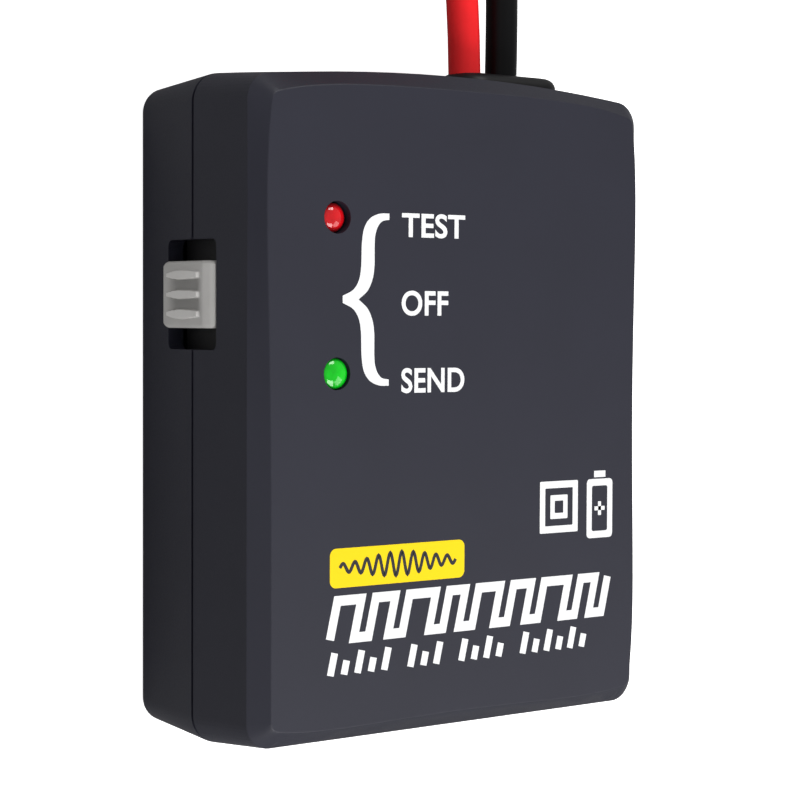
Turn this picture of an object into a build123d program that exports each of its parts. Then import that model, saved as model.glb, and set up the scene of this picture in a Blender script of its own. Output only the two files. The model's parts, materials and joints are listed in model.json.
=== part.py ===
from build123d import *
import os
from math import atan2, cos, degrees, hypot, pi, radians, sin, tan

# A pocket signal sender for tracing broken and shorted wires.  It lies on its back:
# +Z points out of the front face, +Y to the end where the test leads leave, and the
# slide switch is on the -X side.  Millimetres.  The origin is under the middle of the
# case, on the surface that it lies on.

# ---- case: two shells that meet at a seam round the sides
CASE_WIDTH = 60.0
CASE_LENGTH = 77.8
CASE_DEPTH = 24.4
SEAM_Z = 12.6
END_CROWN = 1.7            # how far the lead end bows out in the middle
CORNER_RADIUS = 3.5
FRONT_DRAFT = 0.85         # how far each side of the front shell leans in
REAR_DRAFT = 0.9           # the same for the rear shell
FRONT_CHAMFER = 1.9
FRONT_EASE = 0.3           # rounding of the chamfer's edges
BACK_ROUND = 0.9
WALL = 2.0
LIP_HEIGHT = 1.3           # tongue on the rear shell's rim, inside the front shell's
LIP_THICKNESS = 0.9
GROOVE_DEPTH = 0.3         # the visible line at the seam
GROOVE_HALF = 0.2
SMALL_GAP = 0.15           # between pieces of the case that slide or drop in

# ---- slide switch on the -X side
SWITCH_FROM_TOP = 26.5     # from the lead end to the middle of the slot
SWITCH_Z = 11.95
SLOT_LENGTH = 12.5
SLOT_HEIGHT = 10.1
SLOT_ROUND = 0.8
KNOB_LENGTH = 7.6
KNOB_PROUD = 0.6
KNOB_GAP = 0.22
KNOB_ROUND = 0.6
KNOB_BEVEL = 1.1
RIB_COUNT = 3
RIB_WIDTH = 1.55
RIB_PITCH = 2.25
RIB_HEIGHT = 0.35
SWITCH_TRAVEL = 2.2        # each way from the middle
SHIELD_THICKNESS = 0.5
SHIELD_OVERLAP = 0.4
CAN_LENGTH = 14.0
CAN_DEPTH = 4.5
CAN_SHEET = 0.4
STEM_LENGTH = 2.6
STEM_HEIGHT = 2.2
SLIDER_LENGTH = 6.4
SLIDER_HEIGHT = 4.8
TERMINAL_PITCH = 4.0

# ---- lamps
LAMP_FROM_SIDE = 11.65
RED_LAMP_FROM_TOP = 17.8
GREEN_LAMP_FROM_TOP = 35.35
LAMP_RADIUS = 1.5
LAMP_HOLE_RADIUS = 1.85
LAMP_HEIGHT = 5.3
LAMP_RIM_RADIUS = 1.9
LAMP_RIM_HEIGHT = 1.0
RED_LAMP_SUNK = 0.55
GREEN_LAMP_SUNK = 0.3
LEG_SPACING = 2.54
LEG_RADIUS = 0.25

# ---- battery, its bay and the cover that slides off towards -Y
BATTERY_WIDTH = 26.5
BATTERY_LENGTH = 46.4
BATTERY_DEPTH = 17.5
BATTERY_ROUND = 2.0
BATTERY_GAP = 0.3
TERMINAL_SPACING = 12.7
TERMINAL_HEIGHT = 2.1
MALE_RADIUS = 2.9
FEMALE_RADIUS = 3.7
SNAP_THICKNESS = 4.6
SNAP_DEPTH = 11.0
BAY_WALL = 1.2
COVER_THICKNESS = 1.9
RAIL_WIDTH = 1.2
RAIL_THICKNESS = 0.9
GRIP_GROOVES = 4

# ---- circuit board
BOARD_THICKNESS = 1.6
BOARD_Z = 6.9
BOARD_GAP = 0.6
PIN_RADIUS = 0.4
PIN_STICK_OUT = 0.6
CHIP_WIDTH = 6.35
CHIP_LENGTH = 19.3
CHIP_HEIGHT = 3.3
CHIP_PITCH = 2.54
CAPACITOR_RADIUS = 3.2
CAPACITOR_HEIGHT = 9.0
TRANSISTOR_RADIUS = 2.3
TRANSISTOR_HEIGHT = 4.6
TRANSISTOR_LIFT = 2.5      # of its body over the board
RESISTOR_COUNT = 5
RESISTOR_PITCH = 3.6
RESISTOR_LENGTH = 6.2
RESISTOR_RADIUS = 0.9
RESISTOR_LIFT = 1.3        # of its axis over the board
RESISTOR_REACH = 5.0       # from its middle to each of its legs
PART_LEG_RADIUS = 0.3

# ---- screws
CASE_SCREW_RADIUS = 1.3
CASE_SCREW_HEAD = 2.5
CASE_SCREW_LENGTH = 12.0
CASE_BOSS_RADIUS = 3.1
BOARD_SCREW_RADIUS = 1.0
BOARD_SCREW_HEAD = 1.8
BOARD_BOSS_RADIUS = 2.2
BOSS_INSET = 6.3           # from the case's side to a boss's axis

# ---- lead gland: three ways in a row, of which two carry a lead
LEAD_DIAMETER = 4.0
LEAD_PITCH = 5.55
GLAND_X = 15.3
GLAND_HALF_LENGTH = 8.3
GLAND_HALF_HEIGHT = 3.7
GLAND_PROUD = 1.5
GLAND_ROUND = 1.35
GLAND_FLANGE = 0.9
TIE_BAND = 1.1
TIE_WIDTH = 2.5
INNER_WIRE_DIAMETER = 1.4
THIN_WIRE_DIAMETER = 1.2

# ---- test leads: past the lead end lie the two coils, the black one on the red one,
# and past the coils the two clips, side by side
FLOOR_GAP = 0.05
COIL_TURN_RADIUS = 22.0    # middle of the turns
COIL_X = 12.5
COIL_Y = 92.0

# ---- spring clips
CLIP_Y = 159.5
CLIP_WIDTH = 8.4
SHEET = 0.8
JAW_LENGTH = 24.0
HANDLE_LENGTH = 25.0
JAW_LINE = 6.9             # height where the teeth meet
PIVOT_Z = 8.7
CLIP_PIN_RADIUS = 0.9
PIN_PLAY = 0.05
TOOTH_COUNT = 7
TOOTH_DEPTH = 0.9
HANDLE_LIFT = 26.0         # degrees between the two handles at rest
GRIP_WALL = 0.85
HANDLE_LOW = -1.2          # underside and top of the upper handle, from the pivot's level
HANDLE_HIGH = 2.7
SPRING_RADIUS = 1.75
SPRING_WIRE = 0.7

# ---- places worked out from the sizes above
HALF_WIDTH = CASE_WIDTH / 2
TOP = CASE_LENGTH / 2
BOTTOM = -CASE_LENGTH / 2
FRONT_INNER = CASE_DEPTH - WALL
SLOT_Y = TOP - SWITCH_FROM_TOP
LAMP_X = -HALF_WIDTH + LAMP_FROM_SIDE
BAY_RIGHT = HALF_WIDTH - REAR_DRAFT - WALL - 0.1
BAY_LEFT = BAY_RIGHT - BATTERY_WIDTH - 2 * BATTERY_GAP
BATTERY_BOTTOM = BOTTOM + REAR_DRAFT + WALL + BATTERY_GAP
BATTERY_TOP = BATTERY_BOTTOM + BATTERY_LENGTH
SNAP_BOTTOM = BATTERY_TOP + SMALL_GAP
SNAP_TOP = SNAP_BOTTOM + SNAP_THICKNESS
BAY_TOP = SNAP_TOP + 1.6
BATTERY_Z = COVER_THICKNESS + BATTERY_GAP
BATTERY_X = (BAY_LEFT + BAY_RIGHT) / 2
BATTERY_MID_Z = BATTERY_Z + BATTERY_DEPTH / 2
BOARD_TOP_Z = BOARD_Z + BOARD_THICKNESS
BOARD_LEFT = -(HALF_WIDTH - REAR_DRAFT - WALL) + 0.2
BOARD_RIGHT = BAY_LEFT - BAY_WALL - BOARD_GAP
SHIELD_X = BOARD_LEFT + 0.1
CAN_X = SHIELD_X + SHIELD_THICKNESS + 1.1
TOP_BOSS_Y = TOP - END_CROWN - WALL - CASE_BOSS_RADIUS - 0.5
BOTTOM_BOSS_Y = BOTTOM + REAR_DRAFT + WALL + CASE_BOSS_RADIUS
BOARD_TOP = TOP_BOSS_Y - CASE_BOSS_RADIUS - BOARD_GAP
BOARD_BOTTOM = BOTTOM_BOSS_Y + CASE_BOSS_RADIUS + BOARD_GAP
CHIP_X = BOARD_RIGHT - 8.2
CHIP_Y = BOARD_BOTTOM + 17.5
RESISTOR_X = BOARD_RIGHT - 8.5
GLAND_TOP = TOP - END_CROWN * (GLAND_X / HALF_WIDTH) ** 2 + GLAND_PROUD
FLANGE_TOP = TOP - END_CROWN * ((GLAND_X + GLAND_HALF_LENGTH + 1) / HALF_WIDTH) ** 2 - WALL - 0.7
FLANGE_BOTTOM = FLANGE_TOP - 1.3
RED_LEAD_X = GLAND_X - LEAD_PITCH
BLACK_LEAD_X = GLAND_X
LEAD_INNER_Y = FLANGE_BOTTOM - 4.5
COIL_HEIGHT = LEAD_DIAMETER * (1 + sin(radians(60)))
COIL_FLOOR = {"red": FLOOR_GAP, "black": 2 * FLOOR_GAP + COIL_HEIGHT}
CLIP_LEAD_Z = 3.85
CLIP_HALF = CLIP_WIDTH / 2
INNER_HALF = CLIP_HALF - SHEET
UPPER_HALF = INNER_HALF - 0.3
CLIP_LOW = FLOOR_GAP + GRIP_WALL
LOWER_TOP = JAW_LINE - TOOTH_DEPTH
LEAD_RADIUS = LEAD_DIAMETER / 2
CASE_BOSSES = [
    (-HALF_WIDTH + BOSS_INSET, TOP_BOSS_Y),
    (HALF_WIDTH - BOSS_INSET, BAY_TOP + BAY_WALL + CASE_BOSS_RADIUS + 6.0),
    (-HALF_WIDTH + BOSS_INSET, BOTTOM_BOSS_Y),
    (BAY_LEFT - BAY_WALL - CASE_BOSS_RADIUS - 0.3, BOTTOM_BOSS_Y),
]
BOARD_BOSSES = [
    (BOARD_LEFT + 3.6, BOARD_BOTTOM + 3.2),
    (BOARD_RIGHT - 3.2, BOARD_BOTTOM + 3.2),
    (BOARD_RIGHT - 3.2, BOARD_TOP - 3.2),
]


# ---- helpers
def save(name, *solids):
    """Writes one node, made of one or more separate solids."""
    shape = solids[0] if len(solids) == 1 else Compound(children=list(solids))
    shape.label = name
    export_step(shape, os.path.join("parts", name + ".step"))


def block(x0, x1, y0, y1, z0, z1):
    """A box from its lowest and highest corners."""
    return Pos((x0 + x1) / 2, (y0 + y1) / 2, (z0 + z1) / 2) * Box(x1 - x0, y1 - y0, z1 - z0)


def post(x, y, z0, z1, radius):
    """An upright cylinder."""
    return Pos(x, y, (z0 + z1) / 2) * Cylinder(radius, z1 - z0)


def outline(inset, z):
    """The case's plan, moved in by inset: three straight sides and a bowed lead end."""
    half = HALF_WIDTH - inset
    low = BOTTOM + inset
    high = TOP - inset
    shoulder = high - END_CROWN
    with BuildSketch(Plane.XY.offset(z)) as plan:
        with BuildLine():
            Line((half, shoulder), (half, low))
            Line((half, low), (-half, low))
            Line((-half, low), (-half, shoulder))
            ThreePointArc((-half, shoulder), (0, high), (half, shoulder))
        make_face()
        fillet(plan.vertices(), max(CORNER_RADIUS - 0.6 * inset, 0.6))
    return plan.sketch.faces()[0]


def shell_solid(inset, z0, z1, lean0, lean1):
    """A case-shaped block whose sides lean from lean0 at z0 to lean1 at z1."""
    return loft([outline(inset + lean0, z0), outline(inset + lean1, z1)], ruled=True)


def slot_prism(x0, x1, y, z, length, height, rounding):
    """A rounded rectangle in a side wall, carried along X."""
    plane = Plane(origin=(x0, y, z), x_dir=(0, 1, 0), z_dir=(1, 0, 0))
    return extrude(plane * RectangleRounded(length, height, rounding), amount=x1 - x0)


def stadium(x, z, half_length, half_height, y0, y1):
    """An oval with straight sides, carried along Y."""
    plane = Plane(origin=(x, y0, z), x_dir=(1, 0, 0), z_dir=(0, 1, 0))
    return extrude(plane * SlotOverall(2 * half_length, 2 * half_height), amount=y1 - y0)


def rod(x, z, y0, y1, radius):
    """A cylinder along Y."""
    return Pos(x, (y0 + y1) / 2, z) * Rot(90, 0, 0) * Cylinder(radius, y1 - y0)


def smooth_path(points):
    """Straight runs joined by tangent arcs, and the radius of each arc."""
    points = [Vector(*p) for p in points]
    runs = [b - a for a, b in zip(points, points[1:])]
    radii = []
    for before, after in zip(runs, runs[1:]):
        half_turn = radians(before.get_angle(after)) / 2
        radii.append(0.45 * min(before.length, after.length) / tan(half_turn))
    return FilletPolyline(*points, radius=radii), radii


def tube(points, diameter, name):
    """A round cord along a route; prints its radii and compares its volume."""
    path, radii = smooth_path(points)
    start = Plane(origin=path @ 0, z_dir=path % 0)
    solid = sweep(start * Circle(diameter / 2), path=path).solids()[0]
    expected = pi * diameter**2 / 4 * path.length
    print(name, "length", round(path.length, 1), "radii", [round(r, 1) for r in radii],
          "volume share", round(solid.volume / expected, 4))
    return solid


# ---- case
def rail_cut():
    """The room that the battery cover and its two side tongues slide in."""
    low = BOTTOM - 1
    plate = block(BAY_LEFT + RAIL_WIDTH, BAY_RIGHT - RAIL_WIDTH, low, BAY_TOP,
                  -1, COVER_THICKNESS + SMALL_GAP)
    tongues = block(BAY_LEFT, BAY_RIGHT, low, BAY_TOP, RAIL_THICKNESS, COVER_THICKNESS + SMALL_GAP)
    return plate + tongues


def rear_outer():
    """The rear shell as a full block, rounded at the back."""
    body = shell_solid(0, 0, SEAM_Z, REAR_DRAFT, 0)
    return fillet(body.faces().sort_by(Axis.Z)[0].edges(), BACK_ROUND)


def side_openings():
    """The switch slot and the gland's hole, which both shells share."""
    slot = slot_prism(-HALF_WIDTH - 1, -HALF_WIDTH + WALL + 1.5, SLOT_Y, SWITCH_Z,
                      SLOT_LENGTH, SLOT_HEIGHT, SLOT_ROUND)
    hole = stadium(GLAND_X, SEAM_Z, GLAND_HALF_LENGTH, GLAND_HALF_HEIGHT,
                   FLANGE_TOP - 1, TOP + 2)
    return slot, hole


def seam_groove(z0, z1):
    """A shallow ring cut round the rim."""
    ring = extrude(outline(-0.5, z0), amount=z1 - z0)
    return ring - extrude(outline(GROOVE_DEPTH, z0), amount=z1 - z0)


def rear_cover():
    shell = rear_outer() - shell_solid(WALL, WALL, SEAM_Z + 1, REAR_DRAFT * (1 - WALL / SEAM_Z), 0)
    lip = extrude(outline(WALL - LIP_THICKNESS, SEAM_Z), amount=LIP_HEIGHT)
    lip -= extrude(outline(WALL, SEAM_Z), amount=LIP_HEIGHT)
    lip_root = extrude(outline(WALL - LIP_THICKNESS, SEAM_Z - 1), amount=1)
    lip_root -= extrude(outline(WALL, SEAM_Z - 1), amount=1)
    shell = shell + lip_root + lip
    wall_top = SEAM_Z - 0.3
    shell += block(BAY_LEFT - BAY_WALL, BAY_LEFT, BOTTOM + WALL, BAY_TOP + BAY_WALL, WALL / 2, wall_top)
    shell += block(BAY_LEFT - BAY_WALL, HALF_WIDTH - WALL, BAY_TOP, BAY_TOP + BAY_WALL,
                   WALL / 2, wall_top)
    for x, y in CASE_BOSSES:
        shell += post(x, y, WALL / 2, SEAM_Z - 0.1, CASE_BOSS_RADIUS)
    for x, y in BOARD_BOSSES:
        shell += post(x, y, WALL / 2, BOARD_Z, BOARD_BOSS_RADIUS)
    for x, y in CASE_BOSSES:
        shell -= post(x, y, -1, head_floor(), CASE_SCREW_HEAD + 0.3)
        shell -= post(x, y, 0, SEAM_Z, CASE_SCREW_RADIUS + 0.2)
    for x, y in BOARD_BOSSES:
        shell -= post(x, y, WALL, BOARD_Z + 1, BOARD_SCREW_RADIUS)
    shell -= rail_cut()
    window = block(BAY_LEFT, BAY_RIGHT, BATTERY_BOTTOM - BATTERY_GAP, BAY_TOP, -1, WALL + 1)
    window -= block(BAY_LEFT - 1, BAY_LEFT + RAIL_WIDTH, BOTTOM, BAY_TOP, -2, RAIL_THICKNESS)
    window -= block(BAY_RIGHT - RAIL_WIDTH, BAY_RIGHT + 1, BOTTOM, BAY_TOP, -2, RAIL_THICKNESS)
    shell -= window
    shell -= block(BAY_LEFT + 2, BAY_LEFT + 8, BAY_TOP - 1, BAY_TOP + BAY_WALL + 1,
                   SEAM_Z - 4.5, SEAM_Z)
    for opening in side_openings():
        shell -= opening
    return shell - seam_groove(SEAM_Z - GROOVE_HALF, SEAM_Z)


def head_floor():
    """Height of the seat under a case screw's head, deep inside its boss."""
    return SEAM_Z - 6.6


def front_cover():
    body = shell_solid(0, SEAM_Z, CASE_DEPTH, 0, FRONT_DRAFT)
    body = chamfer(body.faces().sort_by(Axis.Z)[-1].edges(), FRONT_CHAMFER)
    body = fillet(body.faces().sort_by(Axis.Z)[-1].edges(), FRONT_EASE)
    shell = body - shell_solid(WALL, SEAM_Z - 0.5, FRONT_INNER, 0, FRONT_DRAFT)
    shell -= extrude(outline(WALL - LIP_THICKNESS - 0.1, SEAM_Z - 1), amount=LIP_HEIGHT + 1.1)
    rib_low = SEAM_Z + LIP_HEIGHT + 0.4
    shell += block(BAY_LEFT - BAY_WALL, BAY_LEFT, BATTERY_BOTTOM, BAY_TOP, rib_low, FRONT_INNER + 1)
    for x, y in CASE_BOSSES:
        shell += post(x, y, SEAM_Z + 0.1, FRONT_INNER + 1, CASE_BOSS_RADIUS - 0.3)
        shell -= post(x, y, SEAM_Z, SEAM_Z + 8.2, CASE_SCREW_RADIUS)
    for y, _ in lamp_places():
        shell += post(LAMP_X, y, FRONT_INNER - 3.0, FRONT_INNER + 1, LAMP_RIM_RADIUS + 0.9)
        shell -= post(LAMP_X, y, FRONT_INNER - 4, FRONT_INNER, LAMP_RIM_RADIUS + 0.2)
        shell -= post(LAMP_X, y, FRONT_INNER - 1, CASE_DEPTH + 1, LAMP_HOLE_RADIUS)
    for opening in side_openings():
        shell -= opening
    return shell - seam_groove(SEAM_Z, SEAM_Z + GROOVE_HALF)


def battery_cover():
    """The sliding cover: a plate with a tongue along each side and a thumb grip."""
    left = BAY_LEFT + RAIL_WIDTH + SMALL_GAP
    right = BAY_RIGHT - RAIL_WIDTH - SMALL_GAP
    high = BAY_TOP - SMALL_GAP
    plate = block(left, right, BOTTOM - 1, high, -1, COVER_THICKNESS)
    plate += block(BAY_LEFT + SMALL_GAP, BAY_RIGHT - SMALL_GAP, BOTTOM - 1, high,
                   RAIL_THICKNESS + SMALL_GAP, COVER_THICKNESS)
    plate = plate & rear_outer()
    for n in range(GRIP_GROOVES):
        y = high - 8.0 - 2.0 * n
        plate -= block(BATTERY_X - 6.5, BATTERY_X + 6.5, y - 0.5, y + 0.5, -1, 0.6)
    tip = high - 8.0 - 2.0 * GRIP_GROOVES - 6.0
    with BuildSketch(Plane.XY) as arrow:
        Polygon((BATTERY_X - 3.5, tip + 4), (BATTERY_X + 3.5, tip + 4), (BATTERY_X, tip), align=None)
    return plate - extrude(arrow.sketch, amount=0.5)


def case_screws():
    screws = []
    seat = head_floor()
    for x, y in CASE_BOSSES:
        head = post(x, y, seat - 1.9, seat, CASE_SCREW_HEAD)
        head = fillet(head.faces().sort_by(Axis.Z)[0].edges(), 0.6)
        screw = head + post(x, y, seat, seat + CASE_SCREW_LENGTH, CASE_SCREW_RADIUS)
        for turn in (0, 90):
            screw -= Pos(x, y, seat - 1.5) * Rot(0, 0, turn) * Box(2.8, 0.6, 1.2)
        screws.append(screw)
    return screws


# ---- battery
def battery():
    body = block(BATTERY_X - BATTERY_WIDTH / 2, BATTERY_X + BATTERY_WIDTH / 2,
                 BATTERY_BOTTOM, BATTERY_TOP, BATTERY_Z, BATTERY_Z + BATTERY_DEPTH)
    return fillet(body.edges().filter_by(Axis.Y), BATTERY_ROUND)


def terminals(extra, height):
    """The battery's two snap studs, or, grown by extra, the sockets that take them."""
    y1 = BATTERY_TOP + height
    studs = []
    for side, radius in ((-1, MALE_RADIUS), (1, FEMALE_RADIUS)):
        x = BATTERY_X + side * TERMINAL_SPACING / 2
        studs.append(rod(x, BATTERY_MID_Z, BATTERY_TOP, y1, radius + extra))
    return studs


def battery_snap():
    half = BATTERY_WIDTH / 2 - 1
    body = block(BATTERY_X - half, BATTERY_X + half, SNAP_BOTTOM, SNAP_TOP,
                 BATTERY_MID_Z - SNAP_DEPTH / 2, BATTERY_MID_Z + SNAP_DEPTH / 2)
    body = fillet(body.edges().filter_by(Axis.Y), 3.0)
    for socket in terminals(0.1, TERMINAL_HEIGHT + 0.1):
        body -= socket
    return body


def battery_pad():
    low = BATTERY_Z + BATTERY_DEPTH + 0.1
    return block(BATTERY_X - 9, BATTERY_X + 9, BATTERY_BOTTOM + 6, BATTERY_TOP - 6,
                 low, FRONT_INNER - 0.1)


# ---- circuit board and what stands on it
def lamp_places():
    """Y and the depth of the lens under the front face, red lamp first."""
    return [(TOP - RED_LAMP_FROM_TOP, RED_LAMP_SUNK), (TOP - GREEN_LAMP_FROM_TOP, GREEN_LAMP_SUNK)]


def leg_places():
    """Every wire end that passes through the board: lamps, parts, switch and leads."""
    places = [(LAMP_X + side * LEG_SPACING / 2, y) for y, _ in lamp_places() for side in (-1, 1)]
    places += [(x, y) for x, y, _, _ in pin_places()]
    places += [place for part in small_parts() for place in part["legs"]]
    return places + terminal_places()


def terminal_places():
    x = CAN_X + CAN_DEPTH + 0.5
    return [(x, SLOT_Y + n * TERMINAL_PITCH) for n in (-1, 0, 1)]


def pin_places():
    """The chip's two rows of seven pins: x, y, side and the row's number."""
    reach = CHIP_WIDTH / 2 + 0.65
    return [(CHIP_X + side * reach, CHIP_Y + n * CHIP_PITCH, side, n)
            for side in (-1, 1) for n in range(-3, 4)]


def small_parts():
    """The capacitor, the transistor and five resistors, each with its wire ends."""
    cap_x, cap_y = BOARD_LEFT + 5.6, BOARD_BOTTOM + 13.0
    tra_x, tra_y = BOARD_RIGHT - 4.0, SLOT_Y - 12.0
    parts = [
        {"kind": "capacitor", "x": cap_x, "y": cap_y,
         "legs": [(cap_x, cap_y - 1.25), (cap_x, cap_y + 1.25)]},
        {"kind": "transistor", "x": tra_x, "y": tra_y,
         "legs": [(tra_x, tra_y + n * 1.27) for n in (-1, 0, 1)]},
    ]
    for n in range(RESISTOR_COUNT):
        y = SLOT_Y + 2.5 * RESISTOR_PITCH - n * RESISTOR_PITCH
        legs = [(RESISTOR_X - RESISTOR_REACH, y), (RESISTOR_X + RESISTOR_REACH, y)]
        parts.append({"kind": "resistor", "x": RESISTOR_X, "y": y, "legs": legs})
    return parts


def circuit_board():
    board = block(BOARD_LEFT, BOARD_RIGHT, BOARD_BOTTOM, BOARD_TOP, BOARD_Z, BOARD_TOP_Z)
    reach = SLOT_LENGTH / 2 + SHIELD_OVERLAP + 2 * SWITCH_TRAVEL + 1.0
    board -= block(BOARD_LEFT - 1, SHIELD_X + SHIELD_THICKNESS + 0.5, SLOT_Y - reach, SLOT_Y + reach,
                   BOARD_Z - 1, BOARD_TOP_Z + 1)
    for x, y in BOARD_BOSSES:
        board -= post(x, y, BOARD_Z - 1, BOARD_TOP_Z + 1, BOARD_SCREW_RADIUS + 0.1)
    for x, y in leg_places():
        board -= post(x, y, BOARD_Z - 1, BOARD_TOP_Z + 1, PIN_RADIUS + 0.1)
    return board


def board_screws():
    screws = []
    for x, y in BOARD_BOSSES:
        head = post(x, y, BOARD_TOP_Z, BOARD_TOP_Z + 1.3, BOARD_SCREW_HEAD)
        head = fillet(head.faces().sort_by(Axis.Z)[-1].edges(), 0.5)
        screw = head + post(x, y, WALL + 0.6, BOARD_TOP_Z, BOARD_SCREW_RADIUS)
        for turn in (0, 90):
            screw -= Pos(x, y, BOARD_TOP_Z + 1.1) * Rot(0, 0, turn) * Box(2.2, 0.5, 0.9)
        screws.append(screw)
    return screws


def lamp(y, sunk):
    """A 3 mm lamp: a rim, a round body and a domed top."""
    tip = CASE_DEPTH - sunk
    base = tip - LAMP_HEIGHT
    body = post(LAMP_X, y, base, base + LAMP_RIM_HEIGHT, LAMP_RIM_RADIUS)
    body += post(LAMP_X, y, base, tip - LAMP_RADIUS, LAMP_RADIUS)
    return body + Pos(LAMP_X, y, tip - LAMP_RADIUS) * Sphere(LAMP_RADIUS)


def lamp_legs():
    legs = []
    for y, sunk in lamp_places():
        base = CASE_DEPTH - sunk - LAMP_HEIGHT
        for side in (-1, 1):
            legs.append(post(LAMP_X + side * LEG_SPACING / 2, y, BOARD_Z - PIN_STICK_OUT, base, LEG_RADIUS))
    return legs


def tone_chip():
    z = BOARD_TOP_Z + 0.5
    body = block(CHIP_X - CHIP_WIDTH / 2, CHIP_X + CHIP_WIDTH / 2, CHIP_Y - CHIP_LENGTH / 2,
                 CHIP_Y + CHIP_LENGTH / 2, z, z + CHIP_HEIGHT)
    notch = post(CHIP_X, CHIP_Y + CHIP_LENGTH / 2, z + CHIP_HEIGHT - 0.5, z + CHIP_HEIGHT + 1, 1.2)
    return chamfer(body.edges().filter_by(Axis.Y).sort_by(Axis.Z)[2:], 0.5) - notch


def chip_pins():
    pins = []
    shoulder = BOARD_TOP_Z + 2.2
    for x, y, side, _ in pin_places():
        inner = CHIP_X + side * CHIP_WIDTH / 2
        bend = block(min(inner, x + side * 0.15), max(inner, x + side * 0.15), y - 0.25, y + 0.25,
                     shoulder - 0.25, shoulder)
        drop = block(x - 0.15, x + 0.15, y - 0.25, y + 0.25, BOARD_Z - PIN_STICK_OUT, shoulder)
        pins.append(bend + drop)
    return pins


def capacitor(part):
    can = post(part["x"], part["y"], BOARD_TOP_Z, BOARD_TOP_Z + CAPACITOR_HEIGHT, CAPACITOR_RADIUS)
    can = fillet(can.edges().filter_by(GeomType.CIRCLE), 0.5)
    crimp_z = BOARD_TOP_Z + 1.4
    groove = post(part["x"], part["y"], crimp_z, crimp_z + 0.5, CAPACITOR_RADIUS + 1)
    groove -= post(part["x"], part["y"], crimp_z, crimp_z + 0.5, CAPACITOR_RADIUS - 0.3)
    return can - groove


def transistor(part):
    low = BOARD_TOP_Z + TRANSISTOR_LIFT
    body = post(part["x"], part["y"], low, low + TRANSISTOR_HEIGHT, TRANSISTOR_RADIUS)
    return body - block(part["x"] + 1.0, part["x"] + 4, part["y"] - 4, part["y"] + 4,
                        low - 1, low + TRANSISTOR_HEIGHT + 1)


def resistor(part):
    z = BOARD_TOP_Z + RESISTOR_LIFT
    body = Pos(part["x"], part["y"], z) * Rot(0, 90, 0) * Cylinder(RESISTOR_RADIUS, RESISTOR_LENGTH)
    cap = Rot(0, 90, 0) * Cylinder(RESISTOR_RADIUS + 0.25, 1.5)
    for side in (-1, 1):
        body += Pos(part["x"] + side * (RESISTOR_LENGTH / 2 - 0.6), part["y"], z) * cap
    return body


def component_legs():
    legs = []
    low = BOARD_Z - PIN_STICK_OUT
    thick = PART_LEG_RADIUS
    for part in small_parts():
        for x, y in part["legs"]:
            if part["kind"] == "resistor":
                z = BOARD_TOP_Z + RESISTOR_LIFT
                end = RESISTOR_LENGTH / 2 + 0.15
                inner = part["x"] + (end if x > part["x"] else -end)
                across = block(min(x, inner), max(x, inner), y - thick, y + thick, z - thick, z + thick)
                legs.append(post(x, y, low, z + thick, thick) + across)
            elif part["kind"] == "capacitor":
                legs.append(post(x, y, low, BOARD_TOP_Z, thick))
            else:
                legs.append(post(x, y, low, BOARD_TOP_Z + TRANSISTOR_LIFT, LEG_RADIUS))
    return legs


# ---- slide switch
def knob():
    """The finger cap: a block with a bevelled front edge and three eye-shaped ribs."""
    face = -HALF_WIDTH - KNOB_PROUD
    inner = SHIELD_X - 0.02
    height = SLOT_HEIGHT - 2 * KNOB_GAP
    cap = slot_prism(face, inner, SLOT_Y, SWITCH_Z, KNOB_LENGTH, height, KNOB_ROUND)
    wedge = Pos(face, SLOT_Y, SWITCH_Z + height / 2) * Rot(0, 45, 0)
    cap -= wedge * Box(KNOB_BEVEL * 1.5, KNOB_LENGTH + 2, KNOB_BEVEL * 1.5)
    cap += ribs(face, SWITCH_Z - KNOB_BEVEL / 2 + 0.1)
    return cap - block(-HALF_WIDTH + 1.0, inner + 1, SLOT_Y - STEM_LENGTH / 2 - 0.1,
                       SLOT_Y + STEM_LENGTH / 2 + 0.1, SWITCH_Z - STEM_HEIGHT / 2 - 0.1,
                       SWITCH_Z + STEM_HEIGHT / 2 + 0.1)


def ribs(face, z):
    """Three low ribs across the knob, each pointed at both ends like an eye."""
    half = (SLOT_HEIGHT - 2 * KNOB_GAP - KNOB_BEVEL) / 2 - 0.75
    made = None
    for n in range(RIB_COUNT):
        y = SLOT_Y + (n - (RIB_COUNT - 1) / 2) * RIB_PITCH
        plane = Plane(origin=(face + 0.2, y, z), x_dir=(0, 0, 1), z_dir=(-1, 0, 0))
        with BuildSketch(plane) as eye:
            with BuildLine():
                ThreePointArc((-half, 0), (0, RIB_WIDTH / 2), (half, 0))
                ThreePointArc((half, 0), (0, -RIB_WIDTH / 2), (-half, 0))
            make_face()
        rib = extrude(eye.sketch, amount=0.2 + RIB_HEIGHT)
        made = rib if made is None else made + rib
    return made


def slot_shield():
    """A dark sheet behind the slot that slides with the knob and keeps dust out."""
    half_y = SLOT_LENGTH / 2 + SWITCH_TRAVEL + SHIELD_OVERLAP
    half_z = SLOT_HEIGHT / 2 + SHIELD_OVERLAP
    sheet = block(SHIELD_X, SHIELD_X + SHIELD_THICKNESS, SLOT_Y - half_y, SLOT_Y + half_y,
                  SWITCH_Z - half_z, SWITCH_Z + half_z)
    return sheet - block(SHIELD_X - 1, SHIELD_X + 2, SLOT_Y - STEM_LENGTH / 2 - 0.05,
                         SLOT_Y + STEM_LENGTH / 2 + 0.05, SWITCH_Z - STEM_HEIGHT / 2 - 0.05,
                         SWITCH_Z + STEM_HEIGHT / 2 + 0.05)


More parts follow.
